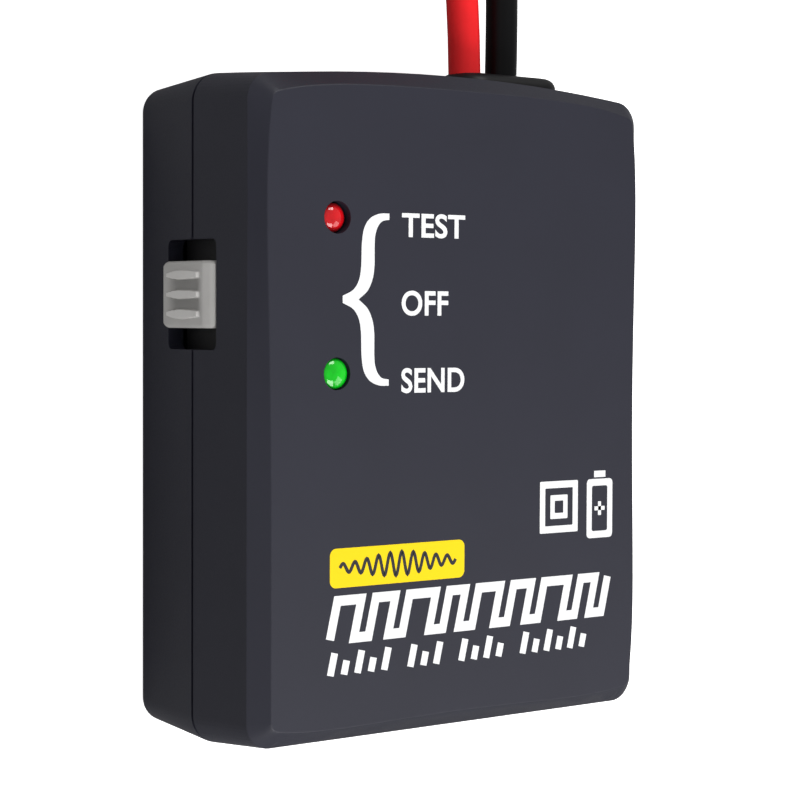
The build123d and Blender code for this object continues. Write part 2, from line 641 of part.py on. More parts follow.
def switch_slider():
    block_x = CAN_X + CAN_SHEET + 0.15
    body = block(block_x, block_x + 1.9, SLOT_Y - SLIDER_LENGTH / 2, SLOT_Y + SLIDER_LENGTH / 2,
                 SWITCH_Z - SLIDER_HEIGHT / 2, SWITCH_Z + SLIDER_HEIGHT / 2)
    return body + block(-HALF_WIDTH + 1.2, block_x + 0.5, SLOT_Y - STEM_LENGTH / 2,
                        SLOT_Y + STEM_LENGTH / 2, SWITCH_Z - STEM_HEIGHT / 2,
                        SWITCH_Z + STEM_HEIGHT / 2)


def switch_frame():
    top = SWITCH_Z + (SWITCH_Z - BOARD_TOP_Z)
    can = block(CAN_X, CAN_X + CAN_DEPTH, SLOT_Y - CAN_LENGTH / 2, SLOT_Y + CAN_LENGTH / 2,
                BOARD_TOP_Z, top)
    can = fillet(can.edges().filter_by(Axis.X), 0.6)
    can -= block(CAN_X + CAN_SHEET, CAN_X + CAN_DEPTH + 1, SLOT_Y - CAN_LENGTH / 2 + CAN_SHEET,
                 SLOT_Y + CAN_LENGTH / 2 - CAN_SHEET, BOARD_TOP_Z + CAN_SHEET, top - CAN_SHEET)
    reach = STEM_LENGTH / 2 + SWITCH_TRAVEL + 0.3
    return can - block(CAN_X - 1, CAN_X + 1, SLOT_Y - reach, SLOT_Y + reach,
                       SWITCH_Z - STEM_HEIGHT / 2 - 0.3, SWITCH_Z + STEM_HEIGHT / 2 + 0.3)


def switch_base():
    inner = CAN_SHEET + 0.05
    top = SWITCH_Z + (SWITCH_Z - BOARD_TOP_Z)
    return block(CAN_X + CAN_DEPTH - 1.6, CAN_X + CAN_DEPTH, SLOT_Y - CAN_LENGTH / 2 + inner,
                 SLOT_Y + CAN_LENGTH / 2 - inner, BOARD_TOP_Z + inner, top - inner)


def switch_terminals():
    made = []
    for x, y in terminal_places():
        pin = post(x, y, BOARD_Z - PIN_STICK_OUT, SWITCH_Z, PIN_RADIUS - 0.05)
        made.append(pin + block(CAN_X + CAN_DEPTH, x, y - 0.35, y + 0.35, SWITCH_Z - 0.7, SWITCH_Z))
    return made


# ---- lead entry
def lead_gland():
    body = stadium(GLAND_X, SEAM_Z, GLAND_HALF_LENGTH, GLAND_HALF_HEIGHT, FLANGE_BOTTOM, GLAND_TOP)
    body = fillet(body.faces().sort_by(Axis.Y)[-1].edges(), GLAND_ROUND)
    body += stadium(GLAND_X, SEAM_Z, GLAND_HALF_LENGTH + GLAND_FLANGE, GLAND_HALF_HEIGHT + GLAND_FLANGE,
                    FLANGE_BOTTOM, FLANGE_TOP)
    for x in (RED_LEAD_X, BLACK_LEAD_X):
        body -= rod(x, SEAM_Z, FLANGE_BOTTOM - 1, GLAND_TOP + 1, LEAD_RADIUS)
    return body - rod(GLAND_X + LEAD_PITCH, SEAM_Z, FLANGE_BOTTOM - 1, GLAND_TOP - 1.6, 1.2)


def lead_tie():
    """A nylon tie round both leads, just inside the gland."""
    mid = (RED_LEAD_X + BLACK_LEAD_X) / 2
    half = LEAD_PITCH / 2 + LEAD_RADIUS + TIE_BAND
    y0 = FLANGE_BOTTOM - 1.0 - TIE_WIDTH
    band = stadium(mid, SEAM_Z, half, LEAD_RADIUS + TIE_BAND, y0, y0 + TIE_WIDTH)
    low = SEAM_Z + LEAD_RADIUS
    band += block(mid - 2.2, mid + 2.2, y0 - 0.6, y0 + TIE_WIDTH, low, low + 3)
    for x in (RED_LEAD_X, BLACK_LEAD_X):
        band -= rod(x, SEAM_Z, y0 - 1, y0 + TIE_WIDTH + 1, LEAD_RADIUS)
    return band


def inner_wires():
    """Thin wires inside the case, from the leads and the battery snap to the board."""
    lead_pad_z = BOARD_TOP_Z + INNER_WIRE_DIAMETER / 2
    snap_pad_z = BOARD_TOP_Z + THIN_WIRE_DIAMETER / 2
    over_z = SEAM_Z - 0.5
    gate_x = BAY_LEFT + 5.0
    gate_z = SEAM_Z - 2.4
    wall_y = BAY_TOP + BAY_WALL
    snap_end = BOARD_RIGHT - 1.6
    return {
        "red_inner_wire": ([
            (RED_LEAD_X, LEAD_INNER_Y, SEAM_Z), (RED_LEAD_X, LEAD_INNER_Y - 2.4, SEAM_Z),
            (RED_LEAD_X - 6.0, LEAD_INNER_Y - 3.1, over_z), (BOARD_RIGHT, BOARD_TOP - 0.8, over_z - 0.4),
            (BOARD_RIGHT - 7.0, BOARD_TOP - 0.9, lead_pad_z)], INNER_WIRE_DIAMETER),
        "black_inner_wire": ([
            (BLACK_LEAD_X, LEAD_INNER_Y, SEAM_Z), (BLACK_LEAD_X, LEAD_INNER_Y - 4.4, SEAM_Z),
            (BLACK_LEAD_X - 8.0, LEAD_INNER_Y - 5.6, over_z), (BOARD_RIGHT, BOARD_TOP - 3.9, over_z - 0.4),
            (BOARD_RIGHT - 10.0, BOARD_TOP - 3.7, lead_pad_z)], INNER_WIRE_DIAMETER),
        "snap_red_wire": ([
            (gate_x + 1.2, SNAP_TOP, gate_z), (gate_x + 1.2, wall_y + 1.4, gate_z),
            (gate_x - 2.5, wall_y + 2.9, gate_z - 0.2), (snap_end + 3.5, wall_y + 2.8, snap_pad_z + 0.3),
            (snap_end, wall_y + 2.6, snap_pad_z)], THIN_WIRE_DIAMETER),
        "snap_black_wire": ([
            (gate_x - 1.2, SNAP_TOP, gate_z), (gate_x - 1.2, wall_y + 0.1, gate_z),
            (gate_x - 3.2, wall_y + 1.2, gate_z - 0.2), (snap_end + 3.4, wall_y + 1.1, snap_pad_z + 0.3),
            (snap_end, wall_y + 0.9, snap_pad_z)], THIN_WIRE_DIAMETER),
    }


# ---- test leads: route points were chosen by hand
LEAD_ROUTES = {
    "red": [(RED_LEAD_X, LEAD_INNER_Y, SEAM_Z), (9.3, 52.0, 12.4), (2.2, 63.5, 7.6), (-7.5, 77.0, 3.0),
            (-11.5, 92.0, 2.05)],
    "black": [(BLACK_LEAD_X, LEAD_INNER_Y, SEAM_Z), (14.9, 56.0, 12.6), (25.6, 66.4, 12.2),
              (35.0, 79.0, 11.0), (36.5, 92.0, 9.6)],
}
TAIL_ROUTES = {
    "red": [(-9.5, 101.0, 5.5), (-9.5, 109.0, 5.3), (-9.5, 118.0, 4.2), (-9.5, 126.5, 3.85),
            (-9.5, 133.5, 3.85)],
    "black": [(34.5, 101.0, 13.0), (34.5, 109.0, 12.3), (34.5, 118.0, 8.2), (34.5, 126.5, 3.85),
              (34.5, 133.5, 3.85)],
}
CLIP_X = {"red": -9.5, "black": 34.5}


def coil(colour):
    """The outer shape of three turns: two side by side and one on top."""
    plane = Plane(origin=(COIL_X, COIL_Y, COIL_FLOOR[colour]), x_dir=(1, 0, 0), z_dir=(0, -1, 0))
    bundle = RectangleRounded(2 * LEAD_DIAMETER, COIL_HEIGHT, LEAD_RADIUS - 0.1)
    section = plane * Pos(COIL_TURN_RADIUS, COIL_HEIGHT / 2) * bundle
    return revolve(section, axis=Axis((COIL_X, COIL_Y, 0), (0, 0, 1)))


# ---- spring clip, drawn with its jaws towards +X and its pivot over the origin
def side_profile(points, half_width):
    """A side view in XZ, carried across the clip's width."""
    plane = Plane(origin=(0, 0, 0), x_dir=(1, 0, 0), z_dir=(0, -1, 0))
    return extrude(plane * Polygon(*points, align=None), amount=half_width, both=True)


def tooth_line(start, end, level, depth):
    """Points of a row of teeth that rise from a level."""
    step = (end - start) / TOOTH_COUNT
    points = []
    for n in range(TOOTH_COUNT):
        points.append((start + n * step, level))
        points.append((start + (n + 0.5) * step, level + depth))
    return points + [(end, level)]


def lower_jaw():
    teeth = tooth_line(5.0, JAW_LENGTH, LOWER_TOP, TOOTH_DEPTH)
    ears = [(3.4, LOWER_TOP), (2.6, PIVOT_Z + 1.9), (-2.6, PIVOT_Z + 1.9), (-3.8, LOWER_TOP)]
    points = [(-HANDLE_LENGTH, CLIP_LOW), (JAW_LENGTH - 4, CLIP_LOW), (JAW_LENGTH, CLIP_LOW + 2.2)]
    points += teeth[::-1] + ears + [(-HANDLE_LENGTH, LOWER_TOP)]
    body = side_profile(points, CLIP_HALF)
    body -= block(-HANDLE_LENGTH - 1, JAW_LENGTH - 4.2, -INNER_HALF, INNER_HALF, CLIP_LOW + SHEET, 20)
    body -= block(JAW_LENGTH - 5, JAW_LENGTH - SHEET, -INNER_HALF, INNER_HALF, CLIP_LOW + 2.8, 20)
    return body - rod(0, PIVOT_Z, -CLIP_WIDTH, CLIP_WIDTH, CLIP_PIN_RADIUS)


def handle_frame():
    """The upper handle's own frame: its X runs back and up from the pivot."""
    return Plane(origin=(0, 0, PIVOT_Z), x_dir=(-cos(radians(HANDLE_LIFT)), 0, sin(radians(HANDLE_LIFT))),
                 z_dir=(sin(radians(HANDLE_LIFT)), 0, cos(radians(HANDLE_LIFT))))


def handle_block(x0, x1, half, z0, z1):
    """A box in the upper handle's frame."""
    return handle_frame() * block(x0, x1, -half, half, z0, z1)


def upper_jaw():
    """Jaw as wide as the lower one, then a narrower channel that passes between the ears."""
    gap = 0.15
    teeth = tooth_line(5.0, JAW_LENGTH, LOWER_TOP + gap, TOOTH_DEPTH)
    top = PIVOT_Z + 2.3
    points = teeth + [(JAW_LENGTH, top - 1.8), (JAW_LENGTH - 4, top), (5.0, top + 0.4)]
    jaw = side_profile(points, CLIP_HALF)
    jaw -= block(5.0 + SHEET, JAW_LENGTH - SHEET, -INNER_HALF, INNER_HALF, 0, top - 2.0)
    neck = side_profile([(5.4, top + 0.3), (5.4, top - 3.2), (2.6, PIVOT_Z - 1.6), (-2.4, PIVOT_Z - 1.4),
                         (-2.8, top), (0, top + 0.5)], UPPER_HALF)
    neck += handle_block(0, HANDLE_LENGTH, UPPER_HALF, HANDLE_LOW, HANDLE_HIGH)
    hollow = side_profile([(4.6, top - 0.5), (4.6, 0), (-1, 0), (-1, top - 0.5)], UPPER_HALF - SHEET)
    hollow += handle_block(0, HANDLE_LENGTH + 1, UPPER_HALF - SHEET, -8, HANDLE_HIGH - SHEET)
    body = jaw + (neck - hollow)
    return body - rod(0, PIVOT_Z, -CLIP_WIDTH, CLIP_WIDTH, CLIP_PIN_RADIUS + PIN_PLAY)


def clip_pin():
    reach = CLIP_HALF + 0.9
    pin = rod(0, PIVOT_Z, -CLIP_HALF, CLIP_HALF, CLIP_PIN_RADIUS)
    for side in (-1, 1):
        head = rod(0, PIVOT_Z, *sorted((side * CLIP_HALF, side * reach)), 1.6)
        outer = head.faces().sort_by(Axis.Y)[0 if side < 0 else -1]
        pin += fillet(outer.edges(), 0.5)
    return pin


def clip_spring():
    """The coils round the pin and the arm that presses on the lower handle."""
    half = UPPER_HALF - SHEET - 0.25
    coils = rod(0, PIVOT_Z, -half, half, SPRING_RADIUS)
    coils -= rod(0, PIVOT_Z, -half - 1, half + 1, SPRING_RADIUS - SPRING_WIRE)
    start = (-SPRING_RADIUS * 0.6, PIVOT_Z - SPRING_RADIUS * 0.6)
    end = (-9.0, CLIP_LOW + SHEET + SPRING_WIRE / 2 + 0.05)
    return coils + round_bar(start, end, -half + SPRING_WIRE / 2, SPRING_WIRE / 2)


def spring_arm():
    """The arm under the upper handle."""
    half = UPPER_HALF - SHEET - 0.25
    plane = handle_frame()
    z = HANDLE_HIGH - SHEET - SPRING_WIRE / 2 - 0.05
    bar = Pos(5.6, half - SPRING_WIRE / 2, z) * Rot(0, 90, 0) * Cylinder(SPRING_WIRE / 2, 7.0)
    return plane * bar


def round_bar(start, end, y, radius):
    """A straight round wire between two points of a side view."""
    dx = end[0] - start[0]
    dz = end[1] - start[1]
    length = hypot(dx, dz)
    place = Pos((start[0] + end[0]) / 2, y, (start[1] + end[1]) / 2)
    return place * Rot(0, 90 - degrees(atan2(dz, dx)), 0) * Cylinder(radius, length)


def lower_grip():
    """A soft sleeve on the lower handle; the lead enters at its end."""
    body = block(-HANDLE_LENGTH - 4.5, -8.0, -CLIP_HALF - GRIP_WALL, CLIP_HALF + GRIP_WALL,
                 FLOOR_GAP, LOWER_TOP + GRIP_WALL)
    body = fillet(body.edges().filter_by(Axis.X), 1.2)
    body -= block(-HANDLE_LENGTH - 0.3, -7.0, -CLIP_HALF, CLIP_HALF, CLIP_LOW, LOWER_TOP)
    return body - Pos(-HANDLE_LENGTH - 3, 0, CLIP_LEAD_Z) * Rot(0, 90, 0) * Cylinder(LEAD_RADIUS, 8)


def upper_grip():
    body = block(8.0, HANDLE_LENGTH + 2.0, -CLIP_HALF - GRIP_WALL, CLIP_HALF + GRIP_WALL,
                 HANDLE_LOW - GRIP_WALL, HANDLE_HIGH + GRIP_WALL)
    body = fillet(body.edges().filter_by(Axis.X), 1.2)
    body -= block(7.0, HANDLE_LENGTH + 0.2, -UPPER_HALF, UPPER_HALF, HANDLE_LOW, HANDLE_HIGH)
    return handle_frame() * body


def clip(colour):
    """Every piece of one clip, turned so that its jaws point to +Y, past the coils."""
    place = Pos(CLIP_X[colour], CLIP_Y, 0) * Rot(0, 0, 90)
    pieces = {
        "lower_jaw": lower_jaw(), "upper_jaw": upper_jaw(), "pin": clip_pin(), "spring": clip_spring(),
        "spring_arm": spring_arm(), "lower_grip": lower_grip(), "upper_grip": upper_grip(),
    }
    return {f"{colour}_clip_{name}": place * piece for name, piece in pieces.items()}


# ---- write every node
os.makedirs("parts", exist_ok=True)
save("rear_cover", rear_cover())
save("front_cover", front_cover())
save("battery_cover", battery_cover())
save("case_screws", *case_screws())
save("battery", battery())
save("battery_terminals", *terminals(0, TERMINAL_HEIGHT))
save("battery_snap", battery_snap())
save("battery_pad", battery_pad())
save("circuit_board", circuit_board())
save("board_screws", *board_screws())
for lamp_name, (lamp_y, lamp_sunk) in zip(("red_lamp", "green_lamp"), lamp_places()):
    save(lamp_name, lamp(lamp_y, lamp_sunk))
save("lamp_legs", *lamp_legs())
save("tone_chip", tone_chip())
save("chip_pins", *chip_pins())
save("capacitor", *[capacitor(p) for p in small_parts() if p["kind"] == "capacitor"])
save("transistor", *[transistor(p) for p in small_parts() if p["kind"] == "transistor"])
save("resistors", *[resistor(p) for p in small_parts() if p["kind"] == "resistor"])
save("component_legs", *component_legs())
save("switch_knob", knob())
save("slot_shield", slot_shield())
save("switch_slider", switch_slider())
save("switch_frame", switch_frame())
save("switch_base", switch_base())
save("switch_terminals", *switch_terminals())
save("lead_gland", lead_gland())
save("lead_tie", lead_tie())
for wire_name, (wire_points, wire_diameter) in inner_wires().items():
    save(wire_name, tube(wire_points, wire_diameter, wire_name))
for lead_colour in ("red", "black"):
    save(f"{lead_colour}_lead", tube(LEAD_ROUTES[lead_colour], LEAD_DIAMETER, f"{lead_colour}_lead"))
    save(f"{lead_colour}_coil", coil(lead_colour))
    save(f"{lead_colour}_tail", tube(TAIL_ROUTES[lead_colour], LEAD_DIAMETER, f"{lead_colour}_tail"))
    for clip_piece, clip_solid in clip(lead_colour).items():
        save(clip_piece, clip_solid)
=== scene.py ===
# %% [markdown]
# # Signal sender of a wire and short finder
# A small battery box lies on its back.  Two soft test leads leave its far end, and each ends
# in a spring clip.  The solid pieces come from a finished engineering model, which is the fixed
# frame here.  What is left for Blender is the finish of every surface, the soft leads, the
# printing on the face and the small rounded pieces that a hard solid shows too coarsely.

# %% Load the frame
import json
import bmesh
import bpy
import numpy as np
from mathutils import Matrix, Vector


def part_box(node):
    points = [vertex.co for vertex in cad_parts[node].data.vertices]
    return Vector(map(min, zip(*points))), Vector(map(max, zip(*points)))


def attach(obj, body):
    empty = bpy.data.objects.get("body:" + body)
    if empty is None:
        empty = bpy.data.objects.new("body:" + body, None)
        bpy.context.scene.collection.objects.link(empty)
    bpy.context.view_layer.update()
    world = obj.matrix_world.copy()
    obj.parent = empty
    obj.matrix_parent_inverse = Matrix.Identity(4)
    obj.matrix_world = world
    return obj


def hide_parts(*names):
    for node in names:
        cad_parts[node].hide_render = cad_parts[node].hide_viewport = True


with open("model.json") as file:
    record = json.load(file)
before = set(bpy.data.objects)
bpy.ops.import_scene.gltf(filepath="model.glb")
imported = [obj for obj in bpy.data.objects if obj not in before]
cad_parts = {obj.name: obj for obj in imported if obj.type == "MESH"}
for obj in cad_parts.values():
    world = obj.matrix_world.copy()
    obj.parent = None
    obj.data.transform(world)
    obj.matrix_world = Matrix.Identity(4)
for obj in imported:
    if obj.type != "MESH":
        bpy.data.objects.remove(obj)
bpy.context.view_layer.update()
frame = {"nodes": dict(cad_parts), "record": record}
NODES = frame["nodes"]
MM = 0.001


# %% [markdown]
# ## Measures read from the frame
# A piece that stands in for a solid takes its place from that solid's box: the knob, the lamps,
# the springs and the grips.  The leads and the printing have places of their own.

# %% Places of the pieces
def middle(node):
    """The middle of a solid's box and half its size, in metres."""
    low, high = (np.array(corner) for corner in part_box(node))
    return (low + high) / 2, (high - low) / 2


FACE_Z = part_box("front_cover")[1][2]
KNOB_MID, KNOB_HALF = middle("switch_knob")
print("face height", round(FACE_Z / MM, 2), "knob", np.round(KNOB_MID / MM, 2))

# %% [markdown]
# ## The camera
# The box is seen from its lower left, close to its face, through a long lens, so the sides
# converge very little.  Three unit vectors say which way the picture's right, its down and the
# line of sight point, and a matrix with those columns turns the camera.

# %% Camera
EYE = np.array([-169.661, 10.044, 228.673]) * MM
RIGHT = np.array([0.782500, 0.004529, 0.622635])
SIGHT = np.array([0.622329, -0.037822, -0.781841])
LENS = 101.84
SHIFT = (-0.0196, 0.0025)

RIGHT = RIGHT / np.linalg.norm(RIGHT)
SIGHT = SIGHT - RIGHT * (SIGHT @ RIGHT)
SIGHT = SIGHT / np.linalg.norm(SIGHT)
UP = np.cross(RIGHT, SIGHT)
camera = bpy.data.objects.new("camera", bpy.data.cameras.new("camera"))
camera.data.lens = LENS
camera.data.sensor_width = 36.0
camera.data.shift_x, camera.data.shift_y = SHIFT
camera.data.clip_start = 0.01
columns = np.column_stack([RIGHT, UP, -SIGHT])
camera.matrix_world = Matrix.Translation(Vector(EYE)) @ Matrix(columns.tolist()).to_4x4()
bpy.context.collection.objects.link(camera)
bpy.context.scene.camera = camera
print("camera height", round(EYE[2] / MM), "mm, up", np.round(UP, 3))


# %% [markdown]
# ## The test leads
# A test lead is a limp cord: many fine strands in a soft jacket about 4 mm thick and half a
# metre long.  It leaves the rubber gland straight, sinks to the bench, runs into a neat coil of
# three turns (two side by side, the third on top of them) and ends in the grip of its clip.
# A curve object with one open spline does this best, because its points are few and listed one
# by one, and the round section is the curve's own bevel.  The turns are made with a loop: an
# angle, a radius and a height for each point.

# %% Routes of the leads, in millimetres
LEAD_DIAMETER = 4.0
POINTS_PER_TURN = 16
EXITS = {"red": (9.75, 29.26, 12.6), "black": (15.3, 29.26, 12.6)}
INTO_COIL = {
    "red": [(10.2, 58.5, 12.8), (3.8, 69.5, 8.8), (-6.5, 80.5, 3.4)],
    "black": [(16.2, 54.0, 12.8), (14.5, 65.0, 11.8), (27.0, 75.5, 11.2), (36.5, 84.0, 10.2)],
}
OUT_OF_COIL = {
    "red": [(-9.5, 109.0, 5.3), (-9.5, 118.0, 4.2), (-9.5, 126.5, 3.85), (-9.5, 133.5, 3.85)],
    "black": [(34.5, 109.0, 12.3), (34.5, 118.0, 8.2), (34.5, 126.5, 3.85), (34.5, 133.5, 3.85)],
}
COIL_MIDDLE = (12.5, 92.0)
COIL_SIDE = {"red": -1, "black": 1}     # the side of the coil that each lead joins
COIL_LIFT = {"red": 0.0, "black": 7.5}  # the black coil lies on the red one
COIL_TURNS = 3
# radius and height of the cord's middle, each after so many turns
COIL_RADIUS = [(0, 24), (0.84, 24), (1.0, 20), (1.66, 20), (1.84, 22), (3.0, 22)]
COIL_HEIGHT = [(0, 2.05), (1.62, 2.05), (1.8, 5.7), (2.0, 5.8), (2.2, 5.5), (3.0, 5.5)]


def coil_points(colour):
    """Three turns: the radius steps from the outer to the inner turn, and the last lies on top."""
    angle = np.arange(0, COIL_TURNS * POINTS_PER_TURN + 1) * 2 * np.pi / POINTS_PER_TURN
    turn = angle / (2 * np.pi)
    radius = np.interp(turn, *zip(*COIL_RADIUS))
    height = np.interp(turn, *zip(*COIL_HEIGHT))
    return [(COIL_MIDDLE[0] + COIL_SIDE[colour] * r * np.cos(a), COIL_MIDDLE[1] + r * np.sin(a),
             z + COIL_LIFT[colour]) for a, r, z in zip(angle, radius, height)]


# %% Build the two cords
def cord(colour):
    """A NURBS spline of order 3 through listed control points, thickened by its bevel."""
    route = [EXITS[colour]] + INTO_COIL[colour] + coil_points(colour) + OUT_OF_COIL[colour]
    curve = bpy.data.curves.new(f"{colour}_cord", "CURVE")
    curve.dimensions = "3D"
    spline = curve.splines.new("NURBS")
    spline.points.add(len(route) - 1)
    flat = np.column_stack([np.array(route) * MM, np.ones(len(route))]).ravel()
    spline.points.foreach_set("co", flat)
    spline.order_u = 3
    spline.use_endpoint_u = True
    curve.resolution_u = 10
    curve.bevel_depth = LEAD_DIAMETER / 2 * MM
    curve.bevel_resolution = 6
    curve.use_fill_caps = True
    piece = bpy.data.objects.new(f"{colour}_cord", curve)
    bpy.context.collection.objects.link(piece)
    return piece


def length_of(piece):
    """Adds up the short straight steps of the curve's own line."""
    bare = piece.data.copy()
    bare.bevel_depth = 0
    probe = bpy.data.objects.new("probe", bare)
    mesh = bpy.data.meshes.new_from_object(probe)
    points = np.empty(len(mesh.vertices) * 3)
    mesh.vertices.foreach_get("co", points)
    steps = np.diff(points.reshape(-1, 3), axis=0)
    bpy.data.objects.remove(probe)
    return np.linalg.norm(steps, axis=1).sum()


CORDS = {colour: cord(colour) for colour in ("red", "black")}
for colour, piece in CORDS.items():
    print(colour, "lead is", round(length_of(piece), 4), "m long")


# %% [markdown]
# ## Meshes from arrays
# Nearly every small piece below is a skin over rows of points, and each row is a closed ring.
# One function turns such an array into a mesh, closes its ends or joins the last row to the
# first, merges what coincides and turns the faces outwards.

# %% Skin over a grid of points
def ready(name, mesh, body):
    """Makes a mesh an object at the origin that rides on a body."""
    piece = bpy.data.objects.new(name, mesh)
    bpy.context.collection.objects.link(piece)
    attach(piece, body)
    return piece


SAME_POINT = 1e-7       # metres; nearer points are one
REAL_EDGE = 38          # degrees between two faces


def finished(mesh):
    """Merges doubles, turns faces outwards and shades smooth up to a real edge."""
    tidy = bmesh.new()
    tidy.from_mesh(mesh)
    bmesh.ops.remove_doubles(tidy, verts=tidy.verts, dist=SAME_POINT)
    bmesh.ops.recalc_face_normals(tidy, faces=tidy.faces)
    for face in tidy.faces:
        face.smooth = True
    tidy.to_mesh(mesh)
    tidy.free()
    mesh.set_sharp_from_angle(angle=np.radians(REAL_EDGE))
    return mesh


def quads_of(index):
    """Four corners for each square between neighbouring rows and columns of point numbers."""
    corners = [index[:-1, :-1], index[:-1, 1:], index[1:, 1:], index[1:, :-1]]
    return np.stack(corners, axis=-1).reshape(-1, 4).tolist()


def grid_mesh(name, grids, closed_columns=False):
    """Joins neighbouring points of each array (rows, points, 3) with quads and caps open ends."""
    vertices, faces, start = [], [], 0
    for grid in grids:
        rows, count = grid.shape[:2]
        index = start + np.arange(rows * count).reshape(rows, count)
        index = np.concatenate([index, index[:, :1]], axis=1)
        if closed_columns:
            index = np.concatenate([index, index[:1]], axis=0)
        faces += quads_of(index)
        if not closed_columns:
            faces.append((start + np.arange(count))[::-1].tolist())
            faces.append((start + (rows - 1) * count + np.arange(count)).tolist())
        vertices.append(grid.reshape(-1, 3))
        start += rows * count
    mesh = bpy.data.meshes.new(name)
    mesh.from_pydata(np.concatenate(vertices).tolist(), [], faces)
    return finished(mesh)


# %% Sections that travel along a path
def turned(profile, centre, count=64):
    """A profile of (radius, height) pairs, turned round an upright axis through centre."""
    angle = np.linspace(0, 2 * np.pi, count, endpoint=False)
    radius, height = np.array(profile).T
    ring = np.stack([np.cos(angle), np.sin(angle)], axis=-1)
    xy = radius[:, None, None] * ring[None]
    z = np.repeat(height[:, None], count, axis=1)[..., None]
    return np.concatenate([xy, z], axis=-1) + np.array(centre)


def tube(path, radius, count=12):
    """A round section carried along a path, square to it, with no twist from row to row."""
    path = np.array(path, dtype=float)
    ahead = np.gradient(path, axis=0)
    ahead /= np.linalg.norm(ahead, axis=1)[:, None]
    side = np.cross(ahead[0], [0.0, 0.0, 1.0])
    if np.linalg.norm(side) < 0.1:
        side = np.cross(ahead[0], [0.0, 1.0, 0.0])
    angle = np.linspace(0, 2 * np.pi, count, endpoint=False)
    rows = []
    for point, direction in zip(path, ahead):
        side = side - direction * (side @ direction)
        side /= np.linalg.norm(side)
        other = np.cross(direction, side)
        spokes = np.cos(angle)[:, None] * side + np.sin(angle)[:, None] * other
        rows.append(point + radius * spokes)
    return np.array(rows)


print("helpers ready")


# %% [markdown]
# ## Finishes
# Each finish is a Principled shader whose colour, roughness and bump come from noise at the
# scale that the real surface has, in the object's own coordinates.  Object coordinates are
# metres here, so a noise scale of 4000 gives grains of a quarter of a millimetre.

# %% A finish with grain and cloudy tone
CLOUD_BAND = (0.3, 0.7)         # the noise between these runs from the dark tone to the light
ROUGHNESS_RANGE = (0.86, 1.14)  # share of the roughness, over the fine noise
# painted light: share of the knob's colour in its painted shade (-1, dishes) and painted highlight
# (1, bars)
PAINTED_LIGHT_TONE = (0.68, 1.44)        # share of the colour, at -1 and at 1


def finish(name, colour, roughness, spread=0.06, cloud=60.0, grain=4000.0, bump=0.12,
           depth=0.02, metallic=0.0, specular=0.5, coat=0.0, transmission=0.0, painted_light_attribute=""):
    """Colour drifts by spread between two tones of one hue; fine noise roughens the surface.

    Where the mesh has the painted-light attribute named here, 1 lightens the colour as painted
    light and -1 darkens it as painted shade.
    """
    material = bpy.data.materials.new(name)
    material.use_nodes = True
    tree = material.node_tree
    shader = tree.nodes["Principled BSDF"]
    place = tree.nodes.new("ShaderNodeTexCoord")
    drift = tree.nodes.new("ShaderNodeTexNoise")
    drift.inputs["Scale"].default_value = cloud
    drift.inputs["Detail"].default_value = 4.0
    ramp = tree.nodes.new("ShaderNodeValToRGB")
    ramp.color_ramp.elements[0].position, ramp.color_ramp.elements[1].position = CLOUD_BAND
    base = np.array(colour)
    ramp.color_ramp.elements[0].color = (*(base * (1 - spread)), 1)
    ramp.color_ramp.elements[1].color = (*np.minimum(base * (1 + spread), 1), 1)
    fine = tree.nodes.new("ShaderNodeTexNoise")
    fine.inputs["Scale"].default_value = grain
    fine.inputs["Detail"].default_value = 2.0
    rough = tree.nodes.new("ShaderNodeMapRange")
    rough.inputs["To Min"].default_value = roughness * ROUGHNESS_RANGE[0]
    rough.inputs["To Max"].default_value = min(roughness * ROUGHNESS_RANGE[1], 1.0)
    relief = tree.nodes.new("ShaderNodeBump")
    relief.inputs["Strength"].default_value = bump
    relief.inputs["Distance"].default_value = depth * MM
    for noise in (drift, fine):
        tree.links.new(place.outputs["Object"], noise.inputs["Vector"])
    tree.links.new(drift.outputs["Fac"], ramp.inputs["Fac"])
    tree.links.new(ramp.outputs["Color"], shader.inputs["Base Color"])
    # painted light and shade: the attribute scales the base colour up on the lit bars and down in
    # the shaded dishes
    if painted_light_attribute:
        mark = tree.nodes.new("ShaderNodeAttribute")
        mark.attribute_name = painted_light_attribute
        tone = tree.nodes.new("ShaderNodeMapRange")
        tone.inputs["From Min"].default_value = -1.0
        tone.inputs["To Min"].default_value, tone.inputs["To Max"].default_value = PAINTED_LIGHT_TONE
        paint = tree.nodes.new("ShaderNodeVectorMath")
        paint.operation = "SCALE"
        tree.links.new(mark.outputs["Fac"], tone.inputs["Value"])
        tree.links.new(ramp.outputs["Color"], paint.inputs["Vector"])
        tree.links.new(tone.outputs["Result"], paint.inputs["Scale"])
        tree.links.new(paint.outputs["Vector"], shader.inputs["Base Color"])
    tree.links.new(fine.outputs["Fac"], rough.inputs["Value"])
    tree.links.new(rough.outputs["Result"], shader.inputs["Roughness"])
    tree.links.new(fine.outputs["Fac"], relief.inputs["Height"])
    tree.links.new(relief.outputs["Normal"], shader.inputs["Normal"])
    shader.inputs["Metallic"].default_value = metallic
    shader.inputs["Specular IOR Level"].default_value = specular
    shader.inputs["Coat Weight"].default_value = coat
    shader.inputs["Transmission Weight"].default_value = transmission
    return material


